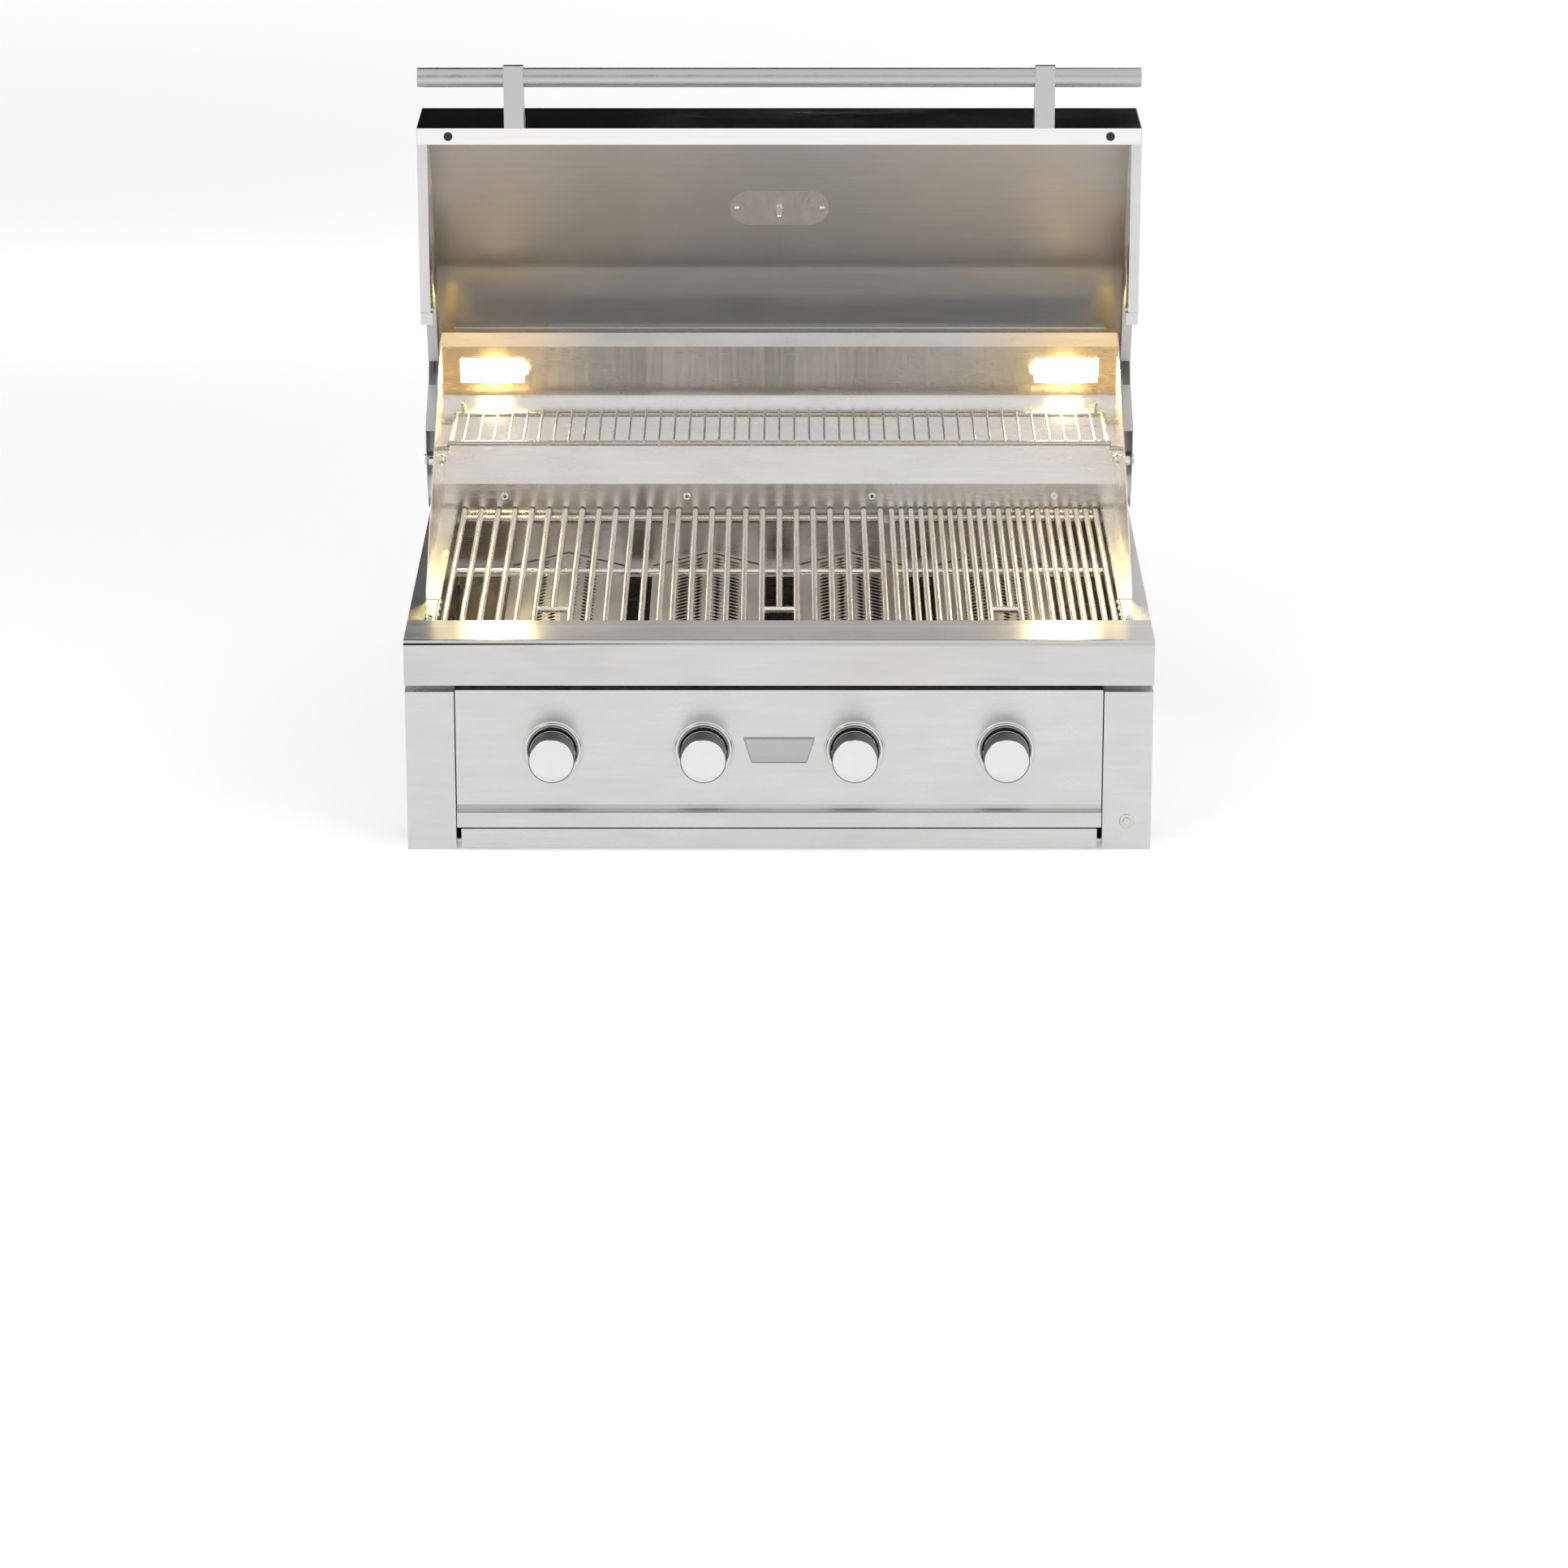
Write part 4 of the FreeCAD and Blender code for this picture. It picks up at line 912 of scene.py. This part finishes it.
def tamer_shape(node, detail):
    """Half of a flame tamer is laid out flat, folded down from the ridge, and mirrored."""
    first, last = low(node), high(node)
    half = (last.x - first.x) / 2 - TAMER_SHEET / 2
    ridge, edge = last.z - TAMER_SHEET / 2, first.z + TAMER_SKIRT
    slope = math.atan2(ridge - edge, half)
    flat = half / math.cos(slope)
    step = detail.slot_pitch
    rows = int((last.y - first.y - 8 * MM) / step)
    margin = ((last.y - first.y) - rows * step) / 2
    shape = bmesh.new()
    diamonds = (DIAMOND_FROM_RIDGE - DIAMOND_CELL_HALF, DIAMOND_FROM_RIDGE + DIAMOND_CELL_HALF)
    ovals = (OVAL_FROM_RIDGE - OVAL_CELL_HALF, OVAL_FROM_RIDGE + OVAL_CELL_HALF)
    bands = (0, *diamonds, *ovals, flat)
    holed_cell(shape, *diamonds, step, (DIAMOND_WIDTH, step * 0.88), 4)
    holed_cell(shape, *ovals, step, (detail.slot_length, step * 0.78), 12)
    for left, right in zip(bands[::2], bands[1::2]):
        flat_face(shape, rectangle(left, 0, right, step))
    pattern = shape.verts[:] + shape.edges[:] + shape.faces[:]
    for row in range(1, rows):
        moved = verts_in(bmesh.ops.duplicate(shape, geom=pattern)["geom"])
        bmesh.ops.translate(shape, verts=moved, vec=(0, row * step, 0))
    for left, right in zip(bands, bands[1:]):
        for start, length in ((-margin, margin), (rows * step, margin)):
            flat_face(shape, rectangle(left, start, right, start + length))
    bmesh.ops.remove_doubles(shape, verts=shape.verts, dist=1e-6)
    bmesh.ops.rotate(shape, cent=(0, 0, 0), matrix=Matrix.Rotation(slope, 3, "Y"), verts=shape.verts)
    border = [
        edge for edge in shape.edges
        if edge.is_boundary and all(abs(vert.co.x - half) < 1e-5 for vert in edge.verts)
    ]
    skirt = verts_in(bmesh.ops.extrude_edge_only(shape, edges=border)["geom"])
    bmesh.ops.translate(shape, verts=skirt, vec=(0, 0, -TAMER_SKIRT))
    whole = shape.verts[:] + shape.edges[:] + shape.faces[:]
    bmesh.ops.mirror(shape, geom=whole, axis="X", merge_dist=1e-5)
    bmesh.ops.remove_doubles(shape, verts=shape.verts, dist=1e-6)
    bmesh.ops.recalc_face_normals(shape, faces=shape.faces)
    if sum(face.normal.z for face in shape.faces) < 0:
        bmesh.ops.reverse_faces(shape, faces=shape.faces)
    place = Vector(((first.x + last.x) / 2, first.y + margin, ridge))
    bmesh.ops.translate(shape, verts=shape.verts, vec=place)
    bmesh.ops.solidify(shape, geom=shape.faces[:], thickness=TAMER_SHEET)
    return shape


class GRILL_OT_tamers(bpy.types.Operator):
    """Model the perforated plates over the burners."""

    bl_idname = "grill.tamers"
    bl_label = "Flame tamers"

    def execute(self, context):
        for number in KNOB_NUMBERS:
            node = f"flame_tamer_{number}"
            shape = tamer_shape(node, context.scene.grill_detail)
            made = piece(f"tamer_plate_{number}", shape, "tamer", "casing", "inner_steel", node)
            made.data.shade_flat()
        return {"FINISHED"}


# ---- lamps ----------------------------------------------------------------------------------

LAMP_LENGTH = 74 * MM
LAMP_PIN = in_metres([(0, 0), (4.4, 0), (4.4, 3.2), (3.8, 4.4), (2.6, 5), (0, 5.2)])


def lamp_light(name, kind, power, colour, radius, place):
    """A light in front of a lamp's lens."""
    data = bpy.data.lights.new(name, kind)
    data.energy = power
    data.color = colour
    data.shadow_soft_size = radius
    obj = bpy.data.objects.new(name, data)
    bpy.context.collection.objects.link(obj)
    obj.location = place
    return obj


class GRILL_OT_lamps(bpy.types.Operator):
    """Model the pin beside each lamp's lens, and set the light that each lamp throws."""

    bl_idname = "grill.lamps"
    bl_label = "Lamps"

    def execute(self, context):
        first, last = low("lamp_lenses"), high("lamp_lenses")
        inner = last.x - LAMP_LENGTH
        centre = middle("lamp_lenses")
        pins = []
        for side in (-1, 1):
            pin = spun(LAMP_PIN, 24)
            bmesh.ops.scale(pin, verts=pin.verts, vec=(1, 0.5, 1))
            inward = Matrix.Rotation(math.radians(-90 * side), 4, "Y")
            turn = inward @ Matrix.Rotation(math.radians(90), 4, "Z")
            place = Matrix.Translation((side * inner, first.y + 1.2 * MM, centre.z))
            bmesh.ops.transform(pin, matrix=place @ turn, verts=pin.verts)
            pins.append(pin)
        piece("lamp_pins", gathered(pins), "lens", "casing", "lamp_glass")
        finish = context.scene.grill_finish
        colour = finish.spill_colour
        for side, name in ((-1, "left"), (1, "right")):
            x = side * (last.x - LAMP_LENGTH / 2)
            below = (x, first.y - 28 * MM, first.z - 20 * MM)
            lamp_light(f"lamp_spill_{name}", "POINT", finish.spill, colour, 22 * MM, below)
            ahead = (x, first.y - 12 * MM, centre.z)
            beam = lamp_light(f"lamp_beam_{name}", "SPOT", finish.beam, colour, 20 * MM, ahead)
            beam.data.spot_size = math.radians(110)
            beam.data.spot_blend = 0.5
            beam.rotation_euler = Vector((0, -0.6, -0.8)).to_track_quat("-Z", "Y").to_euler()
        return {"FINISHED"}


# ---- stage ----------------------------------------------------------------------------------

def make_sheet(name, corners):
    """A flat stage piece from its corners."""
    mesh = bpy.data.meshes.new(name)
    shape = bmesh.new()
    shape.faces.new([shape.verts.new(corner) for corner in corners])
    shape.to_mesh(mesh)
    shape.free()
    obj = bpy.data.objects.new(name, mesh)
    bpy.context.collection.objects.link(obj)
    return obj


SOFT_LIGHT_SIZE = 2.4
LIGHT_TARGET = Vector((0, 0, 0.4))


def soft_light(name, place, power):
    """A wide white light that faces the grill."""
    data = bpy.data.lights.new(name, "AREA")
    data.shape = "RECTANGLE"
    data.size = data.size_y = SOFT_LIGHT_SIZE
    data.energy = power
    obj = bpy.data.objects.new(name, data)
    bpy.context.collection.objects.link(obj)
    obj.location = place
    obj.rotation_euler = (LIGHT_TARGET - Vector(place)).to_track_quat("-Z", "Y").to_euler()


CAMERA_SET_BACK = 6.3705
CAMERA_HEIGHT = 2.1385
CAMERA_SIDE = 0.0054
CAMERA_TILT = 18.8
LENS = 132.47


def seen_directly(tree):
    """1 on what is seen straight, mirrored in metal or through glass, and 0 on soft light."""
    path = tree.nodes.new("ShaderNodeLightPath")
    socket = path.outputs["Is Camera Ray"]
    for kind in ("Is Glossy Ray", "Is Transmission Ray"):
        either = tree.nodes.new("ShaderNodeMath")
        either.operation = "MAXIMUM"
        tree.links.new(socket, either.inputs[0])
        tree.links.new(path.outputs[kind], either.inputs[1])
        socket = either.outputs["Value"]
    return socket


WORLD_LIGHT = 0.8
WORLD_SEEN = 1.0


def make_world():
    """A white backdrop that lights a little less than it shows."""
    world = bpy.data.worlds.new("studio")
    bpy.context.scene.world = world
    world.use_nodes = True
    tree = world.node_tree
    backdrop = next(n for n in tree.nodes if n.type == "BACKGROUND")
    backdrop.inputs["Color"].default_value = (1, 1, 1, 1)
    level = tree.nodes.new("ShaderNodeMapRange")
    level.inputs["To Min"].default_value = WORLD_LIGHT
    level.inputs["To Max"].default_value = WORLD_SEEN
    tree.links.new(seen_directly(tree), level.inputs["Value"])
    tree.links.new(level.outputs["Result"], backdrop.inputs["Strength"])


FLOOR_LIFT = 0.33
FLOOR_REACH = 12


def make_floor():
    """A plain pale floor, lifted to white where it is seen, that keeps the grill's shadow."""
    outline = rectangle(-FLOOR_REACH, -FLOOR_REACH, FLOOR_REACH, FLOOR_REACH)
    floor = make_sheet("floor", [(x, y, 0) for x, y in outline])
    material = bpy.data.materials.new("pale_floor")
    material.use_nodes = True
    tree = material.node_tree
    surface = next(n for n in tree.nodes if n.type == "BSDF_PRINCIPLED")
    surface.inputs["Roughness"].default_value = 0.9
    grain = tree.nodes.new("ShaderNodeTexNoise")
    grain.inputs["Scale"].default_value = 3
    tint = tree.nodes.new("ShaderNodeMapRange")
    tint.inputs["To Min"].default_value = 0.9
    tint.inputs["To Max"].default_value = 0.94
    tree.links.new(grain.outputs["Fac"], tint.inputs["Value"])
    tree.links.new(tint.outputs["Result"], surface.inputs["Base Color"])
    lift = tree.nodes.new("ShaderNodeMath")
    lift.operation = "MULTIPLY"
    lift.inputs[1].default_value = FLOOR_LIFT
    tree.links.new(seen_directly(tree), lift.inputs[0])
    surface.inputs["Emission Color"].default_value = (1, 1, 1, 1)
    tree.links.new(lift.outputs["Value"], surface.inputs["Emission Strength"])
    floor.data.materials.append(material)


class GRILL_OT_stage(bpy.types.Operator):
    """Set up the floor, the lights and the camera."""

    bl_idname = "grill.stage"
    bl_label = "Stage"

    def execute(self, context):
        scene = context.scene
        scene.view_settings.view_transform = "Standard"
        make_world()
        make_floor()
        camera_data = bpy.data.cameras.new("camera")
        camera_data.lens = LENS
        camera_data.sensor_width = 36
        camera = bpy.data.objects.new("camera", camera_data)
        scene.collection.objects.link(camera)
        camera.location = (CAMERA_SIDE, -CAMERA_SET_BACK, CAMERA_HEIGHT)
        camera.rotation_euler = (math.radians(90 - CAMERA_TILT), 0, 0)
        scene.camera = camera
        soft_light("key_light", (-2.6, -3.2, 3.4), 40)
        soft_light("fill_light", (3.0, -2.6, 2.2), 20)
        black = card_material()
        for name, back, corners in DARK_CARDS:
            card = make_sheet(name, [(x, back, z) for x, z in corners])
            card.visible_camera = False
            card.data.materials.append(black)
        return {"FINISHED"}


# Black upright cards, each with its place along Y and its outline across and up: two behind, mirrored
# in the open hood's top and in the left of the deck, and a wedge above the front in two pieces,
# mirrored as a thin line in the deck's rounded edge.
DARK_CARDS = (
    ("high_card", 2.2, rectangle(-3.4, 1.0, 0.57, 3.6)),
    ("low_card", 2.2, rectangle(-3.2, 0.6, -0.2, 1.0)),
    ("front_card", -2.4, [(-0.7, 0.8), (-0.13, 2.1), (0.7, 1.93), (0.7, 2.12), (-0.13, 2.5)]),
    ("front_card_left", -2.4, [(-0.7, 0.8), (-0.13, 2.5), (-0.7, 4.2)]),
)


def card_material():
    """Matt black card."""
    material = bpy.data.materials.new("black_card")
    material.use_nodes = True
    surface = next(n for n in material.node_tree.nodes if n.type == "BSDF_PRINCIPLED")
    surface.inputs["Base Color"].default_value = (0.01, 0.01, 0.01, 1)
    surface.inputs["Specular IOR Level"].default_value = 0
    surface.inputs["Roughness"].default_value = 0.9
    return material


class GRILL_PT_panel(bpy.types.Panel):
    """Lists the grill's steps."""

    bl_idname = "GRILL_PT_panel"
    bl_label = "Built-in Gas Grill"
    bl_space_type = "VIEW_3D"
    bl_region_type = "UI"
    bl_category = "Grill"

    def draw(self, context):
        layout = self.layout
        for group in (context.scene.grill_finish, context.scene.grill_detail):
            for name in group.__annotations__:
                layout.prop(group, name)
        for step in STEPS:
            layout.operator(step.bl_idname)


STEPS = (
    GRILL_OT_finishes, GRILL_OT_knobs, GRILL_OT_badge, GRILL_OT_screws, GRILL_OT_thermometer,
    GRILL_OT_tamers, GRILL_OT_lamps, GRILL_OT_stage,
)
SETTINGS = (GrillFinish, GrillDetail)


def register():
    for item in (*SETTINGS, *STEPS, GRILL_PT_panel):
        bpy.utils.register_class(item)
    bpy.types.Scene.grill_finish = bpy.props.PointerProperty(type=GrillFinish)
    bpy.types.Scene.grill_detail = bpy.props.PointerProperty(type=GrillDetail)


def unregister():
    del bpy.types.Scene.grill_detail
    del bpy.types.Scene.grill_finish
    for item in reversed((*SETTINGS, *STEPS, GRILL_PT_panel)):
        bpy.utils.unregister_class(item)


def main():
    register()
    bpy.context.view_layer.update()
    for step in STEPS:
        category, name = step.bl_idname.split(".")
        getattr(getattr(bpy.ops, category), name)()


if __name__ == "__main__":
    main()
